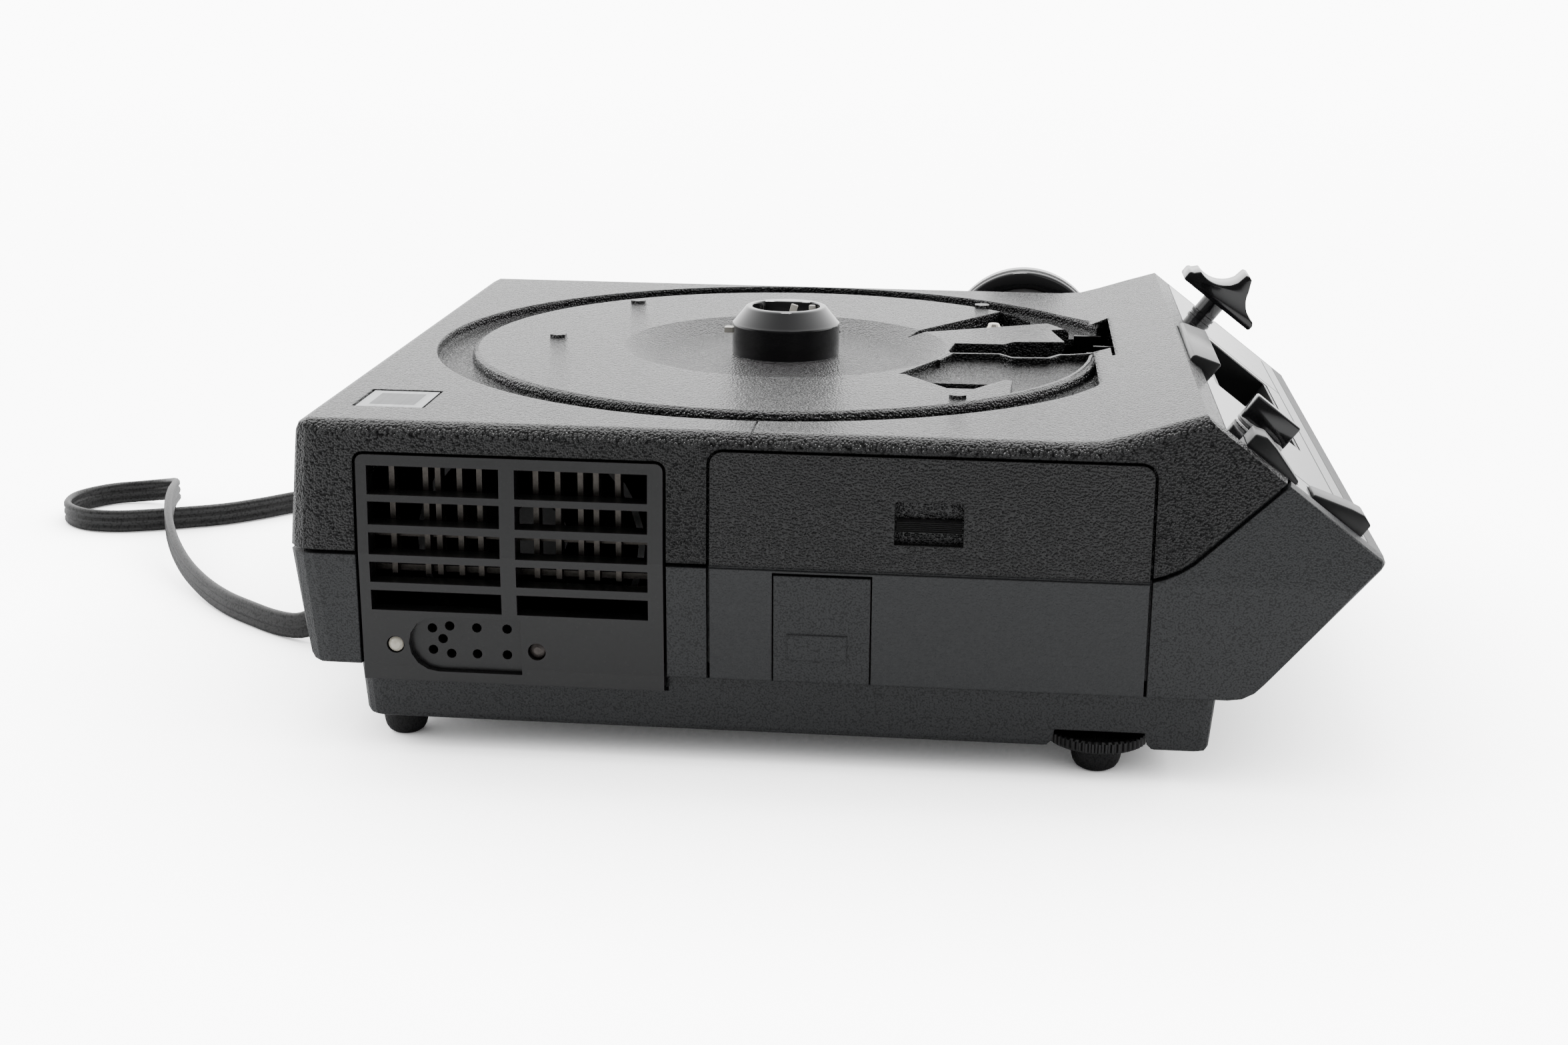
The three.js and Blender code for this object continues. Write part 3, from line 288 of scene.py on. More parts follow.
def door_plastic():
    """Lamp door: coarse grain above the case seam, finer grain below, with the moulded step between"""
    colours, sizes = bpy.context.scene.projector_colours, bpy.context.scene.projector_sizes
    graph, shader, place = new_material("lamp_door_plastic")
    coarse, fine = grain(graph, place, sizes.pebble), grain(graph, place, sizes.fine)
    level = graph.node("ShaderNodeSeparateXYZ", {"Vector": place}).outputs["Z"]
    upper = graph.ramp(level, CASE_SEAM_Z - 0.1 * MM, CASE_SEAM_Z + 0.1 * MM)
    height = graph.maths("ADD", graph.maths("MULTIPLY", coarse.outputs["Height"], upper),
                         graph.maths("MULTIPLY", fine.outputs["Height"],
                                     graph.maths("MULTIPLY", graph.maths("SUBTRACT", 1.0, upper), 0.3)))
    tint = graph.blend(upper, colours.case_low, colours.case_top)
    handled(graph, shader, place, tint, graph.ramp(upper, 0.0, 1.0, 0.42, 0.22), 0.08, 0.04)
    bump(graph, shader, height, DOOR_GRAIN_DEPTH, soft=FINE_EDGE)


def glass(name, tint, rough=0.02):
    """Clear or tinted glass with a faint smear"""
    graph, shader, place = new_material(name)
    shader.inputs["Transmission Weight"].default_value = 0.9
    shader.inputs["IOR"].default_value = 1.5
    smear = graph.noise(40.0, 4.0, 0.6, place)
    graph.tree.links.new(graph.ramp(smear, 0.3, 0.8, rough, rough + 0.1), shader.inputs["Roughness"])
    paler = tuple(min(1.0, 1.08 * c) for c in tint)
    graph.tree.links.new(graph.blend(smear, tint, paler), shader.inputs["Base Color"])


def build_materials():
    """Every finish, with its colour, roughness, dust and depth of grain"""
    colours, sizes = bpy.context.scene.projector_colours, bpy.context.scene.projector_sizes
    moulded("upper_case_plastic", tuple(colours.case_top), sizes.pebble, 0.00040, 0.18, 0.05, 0.04,
            soft=PEBBLE_EDGE, dull=0.2)
    moulded("lower_case_plastic", tuple(colours.case_low), sizes.fine, 0.00010, 0.42, 0.1, 0.05, soft=FINE_EDGE)
    door_plastic()
    smooth_plastic("satin_black", (0.0065, 0.0065, 0.007), 0.32, 0.04, 0.00003)
    smooth_plastic("panel_gloss", tuple(colours.gloss), 0.07, 0.01, 0.000004, coat=0.6)
    smooth_plastic("knob_gloss", tuple(colours.gloss), 0.12, 0.015, 0.00001, coat=0.5)
    smooth_plastic("deep_black", (0.003, 0.003, 0.003), 0.5, 0.0, 0.00001)
    smooth_plastic("bar_grey", (0.03, 0.03, 0.031), 0.26, 0.02, 0.00001)
    smooth_plastic("ivory_nylon", (0.72, 0.70, 0.64), 0.45, 0.05, 0.00001)
    smooth_plastic("pearl_lens", (0.66, 0.62, 0.52), 0.18, 0.02, 0.00001, coat=0.8)
    moulded("foot_rubber", (0.016, 0.016, 0.017), 0.0006, 0.00006, 0.68, 0.08, 0.12)
    moulded("cord_jacket", tuple(colours.cord), 0.0009, 0.00002, 0.42, 0.08, 0.05)
    metal("dark_screw", (0.10, 0.09, 0.085), 0.42)
    metal("bright_nickel", (0.78, 0.74, 0.66), 0.16)
    metal("brushed_badge", (0.42, 0.43, 0.44), 0.34, (1.0, 0.04, 1.0))
    metal("badge_grey", (0.16, 0.165, 0.17), 0.4, (1.0, 0.04, 1.0))
    metal("galvanised", (0.44, 0.44, 0.43), 0.38, (0.2, 1.0, 1.0))
    metal("guard_wire", (0.12, 0.11, 0.10), 0.45)
    metal("blackened_steel", (0.035, 0.035, 0.037), 0.34)
    metal("mirror_coat", (0.86, 0.87, 0.88), 0.06)
    metal("copper_winding", (0.50, 0.22, 0.10), 0.32, (1.0, 1.0, 0.1))
    smooth_plastic("board_green", (0.03, 0.09, 0.05), 0.4, 0.05, 0.00002)
    glass("clear_optic", (0.93, 0.96, 0.97))
    glass("heat_filter", (0.72, 0.88, 0.84))


NODE_FINISH = {
    "upper_case_plastic": ["upper_housing"],
    "lower_case_plastic": ["lower_housing", "base_pan", "reading_flap"],
    "lamp_door_plastic": ["lamp_door"],
    "satin_black": ["vent_grille", "door_latch", "level_wheel", "stand_wheel", "lens_sleeve", "lens_barrel",
                    "fan_shroud", "fan_impeller", "panel_well"],
    "panel_gloss": ["panel_plate"],
    "knob_gloss": ["tray_hub", "lens_ring", "forward_button", "reverse_button", "mode_knob", "focus_knob"],
    "bar_grey": ["select_bar"],
    "ivory_nylon": ["tray_key", "hub_spring", "lamp_socket", "cycle_cam", "drive_pinion", "focus_pinion"],
    "pearl_lens": ["lamp_stud"],
    "foot_rubber": ["level_foot", "rear_foot", "stand_foot", "cord_relief"],
    "cord_jacket": ["cord_run", "cord_coil", "cord_plug"],
    "dark_screw": ["vent_screw", "cam_post"],
    "bright_nickel": ["gate_pin"],
    "brushed_badge": ["badge_plate"],
    "galvanised": ["chassis", "lamp_frame", "fan_motor", "drive_motor"],
    "guard_wire": ["vent_guard"],
    "blackened_steel": ["gate_frame", "pressure_plate", "slide_lifter", "index_lever", "gate_guide", "shutter_blade"],
    "mirror_coat": ["lamp_reflector"],
    "copper_winding": ["solenoid"],
    "board_green": ["circuit_board"],
    "clear_optic": ["front_element", "rear_element", "lamp_bulb", "condenser_rear", "condenser_front"],
    "heat_filter": ["heat_glass"],
}


def finish_frame_nodes():
    """Give every frame node its finish"""
    for finish, nodes in NODE_FINISH.items():
        for node in nodes:
            data = bpy.data.objects[node].data
            data.materials.clear()
            data.materials.append(MATERIALS[finish])


# ---------------------------------------------------------------- pieces


def settle(bm, name, finish, body, replaced=(), smooth_angle=35.0):
    """Turn a finished bmesh into a piece that rides on its body"""
    bmesh.ops.remove_doubles(bm, verts=bm.verts, dist=1e-7)
    bmesh.ops.recalc_face_normals(bm, faces=bm.faces)
    limit = math.radians(smooth_angle)
    for face in bm.faces:
        face.smooth = True
    for edge in bm.edges:
        edge.smooth = len(edge.link_faces) == 2 and edge.calc_face_angle(0.0) < limit
    mesh = bpy.data.meshes.new(name)
    bm.to_mesh(mesh)
    bm.free()
    mesh.materials.append(MATERIALS[finish])
    piece = bpy.data.objects.new(name, mesh)
    bpy.context.scene.collection.objects.link(piece)
    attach(piece, body)
    if replaced:
        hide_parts(*replaced)
    return piece


def ring_of(bm, points):
    """Closed loop of edges through the points"""
    verts = [bm.verts.new(point) for point in points]
    return [bm.edges.new((a, b)) for a, b in zip(verts, verts[1:] + verts[:1])]


def skinned(bm, loops):
    """Skin that joins one closed loop to the next, capped at both ends"""
    rings = [ring_of(bm, loop) for loop in loops]
    for lower, upper in zip(rings, rings[1:]):
        bmesh.ops.bridge_loops(bm, edges=lower + upper)
    for ring in (rings[0], rings[-1]):
        bmesh.ops.contextual_create(bm, geom=ring)


def lathe(profile, matrix, count, closed=False):
    """Solid of revolution about local Z from (radius, height) points in mm, or a ring if its section is closed"""
    bm = bmesh.new()
    verts = [bm.verts.new((radius * MM, 0.0, height * MM)) for radius, height in profile]
    after = verts[1:] + verts[:1] if closed else verts[1:]
    edges = [bm.edges.new(pair) for pair in zip(verts, after)]
    bmesh.ops.spin(bm, geom=verts + edges, cent=(0, 0, 0), axis=(0, 0, 1), angle=2 * math.pi,
                   steps=count, use_merge=True)
    bmesh.ops.transform(bm, matrix=matrix, verts=bm.verts)
    return bm


def prism(outline, low, high, bevel=0.0, segments=3, corner_limit=25.0):
    """Outline in mm in local XY, raised from low to high, its sharp edges rounded"""
    bm = bmesh.new()
    face = bm.faces.new([bm.verts.new((x * MM, y * MM, low * MM)) for x, y in outline])
    raised = bmesh.ops.extrude_face_region(bm, geom=[face])
    top = [item for item in raised["geom"] if isinstance(item, bmesh.types.BMVert)]
    bmesh.ops.translate(bm, vec=(0, 0, (high - low) * MM), verts=top)
    bmesh.ops.recalc_face_normals(bm, faces=bm.faces)
    if bevel:
        round_edges(bm, bevel, segments, corner_limit)
    return bm


def round_edges(bm, width, segments=3, corner_limit=25.0):
    """Bevel of the given width in mm on every edge sharper than the limit"""
    sharp = [edge for edge in bm.edges if edge.calc_face_angle(0.0) > math.radians(corner_limit)]
    bmesh.ops.bevel(bm, geom=sharp, offset=width * MM, offset_type="OFFSET", segments=segments, profile=0.5,
                    affect="EDGES", clamp_overlap=True, material=-1)


def block(bm, low, high, bevel=0.0, segments=2):
    """Rounded block between two corners in mm, added to bm"""
    size = [(b - a) * MM for a, b in zip(low, high)]
    centre = [(a + b) / 2 * MM for a, b in zip(low, high)]
    part = bmesh.new()
    bmesh.ops.create_cube(part, size=1.0, matrix=Matrix.Translation(centre) @ Matrix.Diagonal((*size, 1.0)))
    if bevel:
        round_edges(part, bevel, segments)
    merge(bm, part)


def merge(bm, part, matrix=None):
    """Copy one bmesh into another"""
    if matrix is not None:
        bmesh.ops.transform(part, matrix=matrix, verts=part.verts)
    mesh = bpy.data.meshes.new("part")
    part.to_mesh(mesh)
    part.free()
    bm.from_mesh(mesh)
    bpy.data.meshes.remove(mesh)


def smooth_path(points, step):
    """Evenly spaced points on a rounded line through the given ones"""
    points = [Vector(point) for point in points]
    ends = [2 * points[0] - points[1]] + points + [2 * points[-1] - points[-2]]
    fine = []
    for a, b, c, d in zip(ends, ends[1:], ends[2:], ends[3:]):
        for i in range(24):
            t = i / 24
            fine.append(0.5 * ((2 * b) + (c - a) * t + (2 * a - 5 * b + 4 * c - d) * t * t
                               + (3 * b - a - 3 * c + d) * t ** 3))
    fine.append(points[-1])
    spaced, carried = [fine[0]], 0.0
    for a, b in zip(fine, fine[1:]):
        length = (b - a).length
        while carried + length >= step:
            a = a.lerp(b, (step - carried) / length)
            length = (b - a).length
            carried = 0.0
            spaced.append(a)
        carried += length
    spaced.append(fine[-1])
    return spaced


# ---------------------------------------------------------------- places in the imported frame

# Lengths in mm. Places on the case are measured from the tray axis, places on the panel from the middle of its top.
TRAY_AXIS = (-27.03, -10.0)
PANEL_TOP, PANEL_FOOT = (142.8, 121.8), (198.2, 79.6)           # along the case and above the floor
FOCUS_PLACE = (22, 100)
MODE_PLACE = (25, -103)
LENS_PLACE = (89, 84)                                           # along the case and above the floor
LEVELLER_PLACE = (115.2, -127)
STAND_PLACE = (20, 100)
REAR_FOOT_PLACE = (-115, -122)
PLUG_PLACE = (-6.0, 178.6)


def moved(x, y, z=0.0):
    """Shift in mm"""
    return Matrix.Translation((x * MM, y * MM, z * MM))


WELL = moved(*TRAY_AXIS)                                        # tray axis on the floor
PANEL_SLOPE = math.atan2(PANEL_TOP[1] - PANEL_FOOT[1], PANEL_FOOT[0] - PANEL_TOP[0])
PANEL = (moved(PANEL_TOP[0] + TRAY_AXIS[0], TRAY_AXIS[1], PANEL_TOP[1])
         @ Matrix.Rotation(PANEL_SLOPE, 4, "Y"))                # x runs down the slope, z stands off it
FACING_Y = Matrix.Rotation(-math.pi / 2, 4, "X")                # local z onto +Y
ON_EDGE = Matrix.Rotation(math.pi / 2, 4, "X")                  # an outline stood up, its thickness along -Y


def well(x, y, z):
    """Point in mm from the tray axis"""
    return WELL @ Vector((x * MM, y * MM, z * MM))


# ---------------------------------------------------------------- stage

def build_camera():
    """Camera low in front of the long side, turned a little to the left"""
    eye = Vector((0.0530, -0.8159, 0.2689))
    yaw, pitch, roll = 0.099, 0.272, 0.010
    forward = Vector((-math.sin(yaw) * math.cos(pitch), math.cos(yaw) * math.cos(pitch), -math.sin(pitch)))
    level = Vector((math.cos(yaw), math.sin(yaw), 0.0))
    upright = level.cross(forward)
    right = math.cos(roll) * level + math.sin(roll) * upright
    up = -math.sin(roll) * level + math.cos(roll) * upright
    lens = bpy.data.cameras.new("camera")
    lens.lens, lens.sensor_width, lens.sensor_fit = 50.74, 36.0, "HORIZONTAL"
    lens.clip_start, lens.clip_end = 0.02, 60.0
    camera = bpy.data.objects.new("camera", lens)
    axes = Matrix((right, up, -forward)).transposed()
    camera.matrix_world = Matrix.Translation(eye) @ axes.to_4x4()
    bpy.context.scene.collection.objects.link(camera)
    bpy.context.scene.camera = camera


def area_light(name, place, target, size, power):
    """White rectangular lamp, turned to face its target"""
    light = bpy.data.lights.new(name, "AREA")
    light.shape, light.size, light.size_y, light.energy = "RECTANGLE", size[0], size[1], power
    lamp = bpy.data.objects.new(name, light)
    lamp.matrix_world = (Matrix.Translation(place)
                         @ (Vector(target) - Vector(place)).to_track_quat("-Z", "Y").to_matrix().to_4x4())
    bpy.context.scene.collection.objects.link(lamp)


ROOM = {"base": 0.10, "behind": 2.9, "above": 0.25, "seen": 11.0, "floor_glow": 8.5}


def build_surroundings():
    """Pale floor that fades into a white room, brighter behind and above than at the camera's side; the floor's glow is
    darkened near the projector as a painted contact shadow
    """
    world = bpy.data.worlds.new("white_room")
    bpy.context.scene.world = world
    world.use_nodes = True
    graph = Graph(world.node_tree)
    world.node_tree.nodes.clear()
    way = graph.node("ShaderNodeSeparateXYZ", {"Vector": graph.node("ShaderNodeTexCoord").outputs["Generated"]})
    behind = graph.ramp(way.outputs["Y"], -0.5, 0.75, 0.0, 1.0)
    above = graph.ramp(way.outputs["Z"], 0.0, 0.7, 0.0, 1.0)
    room = graph.maths("MULTIPLY_ADD", behind, ROOM["behind"], ROOM["base"])
    room = graph.maths("MULTIPLY_ADD", above, ROOM["above"], room)
    seen = graph.node("ShaderNodeLightPath").outputs["Is Camera Ray"]
    strength = graph.node("ShaderNodeMix", {0: seen, 2: room, 3: ROOM["seen"]}).outputs[0]
    back = graph.node("ShaderNodeBackground", {"Color": (1.0, 1.0, 1.0, 1.0), "Strength": strength})
    graph.node("ShaderNodeOutputWorld", {"Surface": back.outputs[0]})

    bm = bmesh.new()
    bmesh.ops.create_circle(bm, cap_ends=True, segments=96, radius=4.0)
    mesh = bpy.data.meshes.new("floor")
    bm.to_mesh(mesh)
    bm.free()
    floor = bpy.data.objects.new("floor", mesh)
    bpy.context.scene.collection.objects.link(floor)
    material = bpy.data.materials.new("floor_paper")
    material.use_nodes = True
    graph = Graph(material.node_tree)
    shader = material.node_tree.nodes["Principled BSDF"]
    place = graph.node("ShaderNodeTexCoord").outputs["Object"]
    shader.inputs["Base Color"].default_value = (0.86, 0.865, 0.87, 1.0)
    shader.inputs["Roughness"].default_value = 0.75
    shader.inputs["Specular IOR Level"].default_value = 0.2
    distance = graph.node("ShaderNodeVectorMath", {0: place}, operation="LENGTH").outputs["Value"]
    glow = graph.node("ShaderNodeLightPath").outputs["Is Camera Ray"]
    shader.inputs["Emission Color"].default_value = (1.0, 1.0, 1.0, 1.0)
    # painted shadow: ambient occlusion darkens the floor's camera-only glow under and around the projector
    painted_shadow_ao = graph.node("ShaderNodeAmbientOcclusion", {"Distance": 0.16}).outputs["AO"]
    glow_under_painted_shadow = graph.maths("MULTIPLY", glow, graph.maths("POWER", painted_shadow_ao, 1.6))
    graph.tree.links.new(graph.maths("MULTIPLY", glow_under_painted_shadow, ROOM["floor_glow"]), shader.inputs["Emission Strength"])
    clear = graph.node("ShaderNodeBsdfTransparent")
    mixed = graph.node("ShaderNodeMixShader", {
        0: graph.ramp(distance, 0.75, 2.6), 1: shader.outputs[0], 2: clear.outputs[0]})
    graph.tree.links.new(mixed.outputs[0], material.node_tree.nodes["Material Output"].inputs["Surface"])
    mesh.materials.append(material)


def build_lights():
    """Softbox above, another on the left and a weak fill in front"""
    area_light("roof_softbox", (-0.05, 0.2, 1.5), (0.0, 0.0, 0.1), (0.3, 0.22), 8.5)
    area_light("left_softbox", (-1.3, -0.5, 0.9), (0.0, 0.0, 0.08), (0.9, 0.9), 2.6)
    area_light("front_fill", (0.7, -1.5, 1.1), (0.0, 0.0, 0.1), (0.8, 0.8), 1.8)


# ---------------------------------------------------------------- mains cord

CORD_ROUTE = [
    (-150.3, -40, 20), (-157, -40.2, 18.8), (-164, -40.6, 15), (-171, -40, 10.2), (-179, -37.6, 6.4),
    (-190, -31.5, 5.2), (-203, -22, 5.2), (-217, -10, 5.2), (-231, 5, 6), (-245, 23, 8), (-257, 42, 11),
    (-267, 62, 14), (-275, 83, 15.7), (-281.5, 104, 15.6), (-288.4, 127, 12.6), (-298, 142, 8.4), (-311, 147, 5.8),
    (-325.5, 141.5, 5.2), (-334.8, 127, 5.2), (-332.5, 110, 5.2), (-320.5, 99, 5.2), (-306, 97, 5.2),
    (-292, 101, 5.2), (-277, 107.5, 5.2), (-262, 115.5, 5.2), (-249, 127, 5.2), (-237, 140, 5.2),
    (-222, 152, 5.2), (-204, 162, 5.2), (-182, 170, 5.2), (-156, 175.4, 5.2), (-128, 177.9, 5.2), (-106, 178.5, 5.2),
]
COIL_CENTRE = (-70.0, 236.0)
COIL_TURNS = [(270, 57.4, 5.2), (600, 57.3, 5.2), (665, 47.2, 5.2), (950, 47.2, 5.3), (1015, 47.2, 15.4),
              (1280, 47.2, 15.4), (1345, 57.3, 15.4), (1710, 57.4, 15.4)]
CORD_STEP = 3 * MM
RELIEF_LENGTH = 30 * MM
PLUG_LEAD = [(-52, 178.6, 15.2), (-38, 178.6, 13.2), (-24, 178.6, 10.6), (-13, 178.6, 9.2), (-5, 178.6, 9.0)]


def coil_points():
    """Turns of the coil, 18 degrees apart, easing from one radius and height to the next"""
    points = []
    for (from_turn, from_radius, from_z), (to_turn, to_radius, to_z) in zip(COIL_TURNS, COIL_TURNS[1:]):
        count = max(2, round((to_turn - from_turn) / 18))
        for i in range(count):
            t = i / count
            ease = t * t * (3 - 2 * t)
            angle = math.radians(from_turn + (to_turn - from_turn) * t)
            radius = from_radius + (to_radius - from_radius) * ease
            points.append((COIL_CENTRE[0] + radius * math.cos(angle), COIL_CENTRE[1] + radius * math.sin(angle),
                           from_z + (to_z - from_z) * ease))
    return points


def cord_section():
    """Outline of the flat cord: three round cores side by side, width along local Y"""
    width = bpy.context.scene.projector_sizes.cord_width
    core = width / 6 * 1.06
    pitch = (width - 2 * core) / 2
    outline = []
    for side in (1, -1):
        for lobe in (-1, 0, 1):
            centre = lobe * side * pitch
            start, end = (0 if lobe == 1 else 38), (180 if lobe == -1 else 142)
            for i in range(5):
                angle = math.radians(end + (start - end) * i / 4)
                outline.append((side * core * math.sin(angle), centre + side * core * math.cos(angle)))
    return outline


def build_cord():
    """Sweep of the section along the route: the cord, its path and its length"""
    route = [well(*p) for p in CORD_ROUTE + coil_points() + PLUG_LEAD]
    path = smooth_path(route, CORD_STEP)
    section = cord_section()
    loops = []
    for index, point in enumerate(path):
        ahead = path[min(index + 1, len(path) - 1)] - path[max(index - 1, 0)]
        ahead.normalize()
        flat = max(0.0, 1.0 - index * CORD_STEP / RELIEF_LENGTH)      # flat in the strain relief, then on edge
        lean = math.radians(90) * flat ** 1.5
        side = ahead.cross(Vector((0, 0, 1))).normalized()
        up = side.cross(ahead).normalized()
        turned_side = math.cos(lean) * side + math.sin(lean) * up
        turned_up = turned_side.cross(ahead)
        loops.append([point + x * turned_side + y * turned_up for x, y in section])
    bm = bmesh.new()
    skinned(bm, loops)
    cord = settle(bm, "mains_cord", "cord_jacket", "body", ("cord_run", "cord_coil"), 50)
    length = sum((b - a).length for a, b in zip(path, path[1:]))
    return cord, path, length


def build_plug():
    """Moulded grip with a ribbed tail, and two flat blades"""
    here = WELL @ moved(*PLUG_PLACE)
    bm = bmesh.new()
    face = [(0, -7.4), (3, -9.6), (9, -10.8), (21, -10.8), (25.6, -10), (26, -9), (26, 9), (25.6, 10), (21, 10.8),
            (9, 10.8), (3, 9.6), (0, 7.4)]
    merge(bm, prism(face, 0.4, 18.6, 1.6, 4))
    for index in range(5):
        x, size = -1.4 - 2.5 * index, 6.4 - 0.3 * index
        block(bm, (x - 0.8, -size, 9 - size * 0.7), (x + 0.8, size, 9 + size * 0.7), 0.5)
    block(bm, (-12.4, -4.8, 5.8), (1, 4.8, 12.2), 1.2)
    bmesh.ops.transform(bm, matrix=here, verts=bm.verts)
    plug = settle(bm, "plug_grip", "cord_jacket", "body", ("cord_plug",))
    bm = bmesh.new()
    for side in (-1, 1):
        block(bm, (25.4, side * 6.5 - 0.75, 5.9), (41.8, side * 6.5 + 0.75, 12.3), 0.5)
    bmesh.ops.transform(bm, matrix=here, verts=bm.verts)
    blades = settle(bm, "plug_blades", "bright_nickel", "body")
    return plug, blades


# ---------------------------------------------------------------- hub

HUB_SIDES = 96
HUB_OUTLINE = [(19.9, 109.1), (19.9, 109.6), (19.9, 119.6), (19.9, 119.9), (19.75, 120.4), (19.35, 120.8),
               (19.1, 121.1), (15.2, 125.86), (15.0, 126.1), (14.6, 126.4), (14.2, 126.5)]
HUB_INSIDE = [(0.0, 126.5), (0.35, 126.3), (0.5, 125.8), (0.9, 112.5)]


def hub_opening(shrink, z):
    """Round near side, straight far side with cut corners"""
    points = []
    for i in range(HUB_SIDES):
        angle = 2 * math.pi * i / HUB_SIDES
        x, y = math.cos(angle), math.sin(angle)
        reach = [12.9]
        if y > 0:
            reach += [9.0 / y, 14.3 / (0.66 * abs(x) + 0.75 * y)]
        radius = min(reach) - shrink
        points.append((radius * x * MM, radius * y * MM, z * MM))
    return points


def build_hub():
    """Tray hub: straight skirt, cone, and an open top with a straight far edge, with ivory catches and a deep-black
    slab as the painted shade of a slot
    """
    bm = bmesh.new()
    turn = 2 * math.pi / HUB_SIDES
    loops = [[(r * MM * math.cos(turn * i), r * MM * math.sin(turn * i), z * MM) for i in range(HUB_SIDES)]
             for r, z in HUB_OUTLINE]
    loops += [hub_opening(shrink, z) for shrink, z in HUB_INSIDE]
    skinned(bm, loops)
    bmesh.ops.transform(bm, matrix=WELL, verts=bm.verts)
    settle(bm, "hub_cap", "knob_gloss", "body", ("tray_hub",), 28)
    bm = bmesh.new()
    latch = bmesh.new()
    block(latch, (-1.3, -0.6, 0), (1.3, 0.6, 6.6), 0.3)
    merge(bm, latch, moved(0.8, 6.6, 119.4) @ Matrix.Rotation(math.radians(16), 4, "Y"))
    block(bm, (8.0, 4.8, 119.5), (10.4, 6.4, 125.9), 0.4)
    block(bm, (-11, 7.6, 113), (11, 8.4, 119.9), 0.3)
    bmesh.ops.transform(bm, matrix=WELL, verts=bm.verts)
    settle(bm, "hub_catches", "ivory_nylon", "body")
    # painted shade: a deep-black slab set through the cone stands in for the dark inside of a slot
    bm = bmesh.new()
    slot = bmesh.new()
    block(slot, (-0.5, -1.6, -4.6), (0.6, 1.6, 4.6), 0.3)
    merge(bm, slot, WELL @ moved(16.75, 5.6, 119.4) @ Matrix.Rotation(math.radians(-40), 4, "Y"))
    settle(bm, "hub_slot_painted_shade", "deep_black", "body")


# ---------------------------------------------------------------- lens

LENS_AXIS = WELL @ moved(LENS_PLACE[0], 0, LENS_PLACE[1]) @ FACING_Y
RIB_RADIUS = 32.96
RIB_LEVELS = (154.6, 156.0, 157.4, 158.8)


def build_lens():
    """Front ring with a rolled rim and stepped, blackened inside"""
    section = [(27, 151.6), (31.8, 151.6), (32.6, 152.0), (33.0, 152.8), (33.0, 166.6), (32.8, 167.4), (32.3, 167.9),
               (31.2, 168.0), (30.2, 167.9), (29.6, 167.3), (27.4, 165.2), (27.2, 164.4), (25.2, 162.8),
               (18.2, 162.7), (18.0, 152.4), (27, 152.4)]
    bm = lathe(section, LENS_AXIS, 120, closed=True)
    settle(bm, "lens_front_ring", "knob_gloss", "lens_ring", ("lens_ring",), 40)
    bm = bmesh.new()
    for level in RIB_LEVELS:
        rib = [(RIB_RADIUS, level), (RIB_RADIUS + 0.25, level + 0.2), (RIB_RADIUS + 0.25, level + 0.5),
               (RIB_RADIUS, level + 0.7)]
        merge(bm, lathe(rib, LENS_AXIS, 96, closed=True))
    settle(bm, "lens_ring_ribs", "satin_black", "lens_ring", (), 20)
    crown = [(0, 150.2), (3, 150.1), (7, 149.5), (11, 148.3), (14.5, 146.6), (16.9, 144.9), (17.0, 140.2), (0, 140.2)]
    bm = lathe(crown, LENS_AXIS, 96)
    settle(bm, "front_glass", "clear_optic", "lens", ("front_element",), 25)


# ---------------------------------------------------------------- control panel pieces

def arc_points(cx, cy, radius, start, end, count):
    """Points along an arc, its two ends included"""
    return [(cx + radius * math.cos(math.radians(start + (end - start) * i / count)),
             cy + radius * math.sin(math.radians(start + (end - start) * i / count))) for i in range(count + 1)]


def build_focus_knob():
    """Three-winged knob on a round stem"""
    wing = [(-16.6, 0), (16.4, 0), (17, 0.7), (17, 2.4)] + arc_points(17.5, 14.6, 11, -97, -165, 12) + [
        (5.3, 15.0), (4.6, 16.4), (3.2, 17.1), (1.6, 16.7)] + arc_points(-9.5, 17.5, 11.6, -26, -110, 14) + [
        (-15.4, 4.5), (-16.4, 4.3), (-17, 3.4), (-17, 0.6)]
    here = PANEL @ moved(*FOCUS_PLACE)
    bm = bmesh.new()
    merge(bm, prism(wing, -9, 9, 0.9, 3, 40))
    bmesh.ops.transform(bm, matrix=here @ moved(0, 0, 8.6) @ ON_EDGE, verts=bm.verts)
    stem = [(0, -7), (4.8, -7), (4.8, 0.5), (5.3, 0.7), (5.3, 2.1), (4.8, 2.3), (4.8, 9.2), (0, 9.2)]
    merge(bm, lathe(stem, here, 64))
    merge(bm, lathe([(0, -40), (3, -40), (3, -6), (0, -6)], here, 32))
    settle(bm, "focus_wing_knob", "knob_gloss", "focus_knob", ("focus_knob",), 40)


def build_mode_knob():
    """Bar knob on a low round skirt"""
    here = PANEL @ moved(*MODE_PLACE)
    bm = lathe([(0, 0.4), (8.6, 0.4), (9, 0.7), (9, 1.6), (8.5, 2.2), (7.4, 3.0), (0, 3.2)], here, 72)
    bar = bmesh.new()
    block(bar, (-8.8, -2.4, 1.6), (8.8, 2.4, 10.5), 0.7, 3)
    merge(bm, bar, here)
    merge(bm, lathe([(0, -9), (2.8, -9), (2.8, 1), (0, 1)], here, 32))
    settle(bm, "mode_bar_knob", "knob_gloss", "mode_knob", ("mode_knob",), 35)


def wedge_button(start, end, high_first):
    """Wedge between two places down the slope, high at its first or its last end"""
    crest = [(end, 0.9), (start + 8, 4.6), (start + 3.5, 5.5), (start, 4.2)] if high_first else [
        (end, 4.2), (end - 3.5, 5.5), (end - 8, 4.6), (start, 0.9)]
    bm = prism([(start, -3.6), (end, -3.6)] + crest, 127, 139, 0.6, 3, 30)
    bmesh.ops.transform(bm, matrix=PANEL @ ON_EDGE, verts=bm.verts)
    return bm


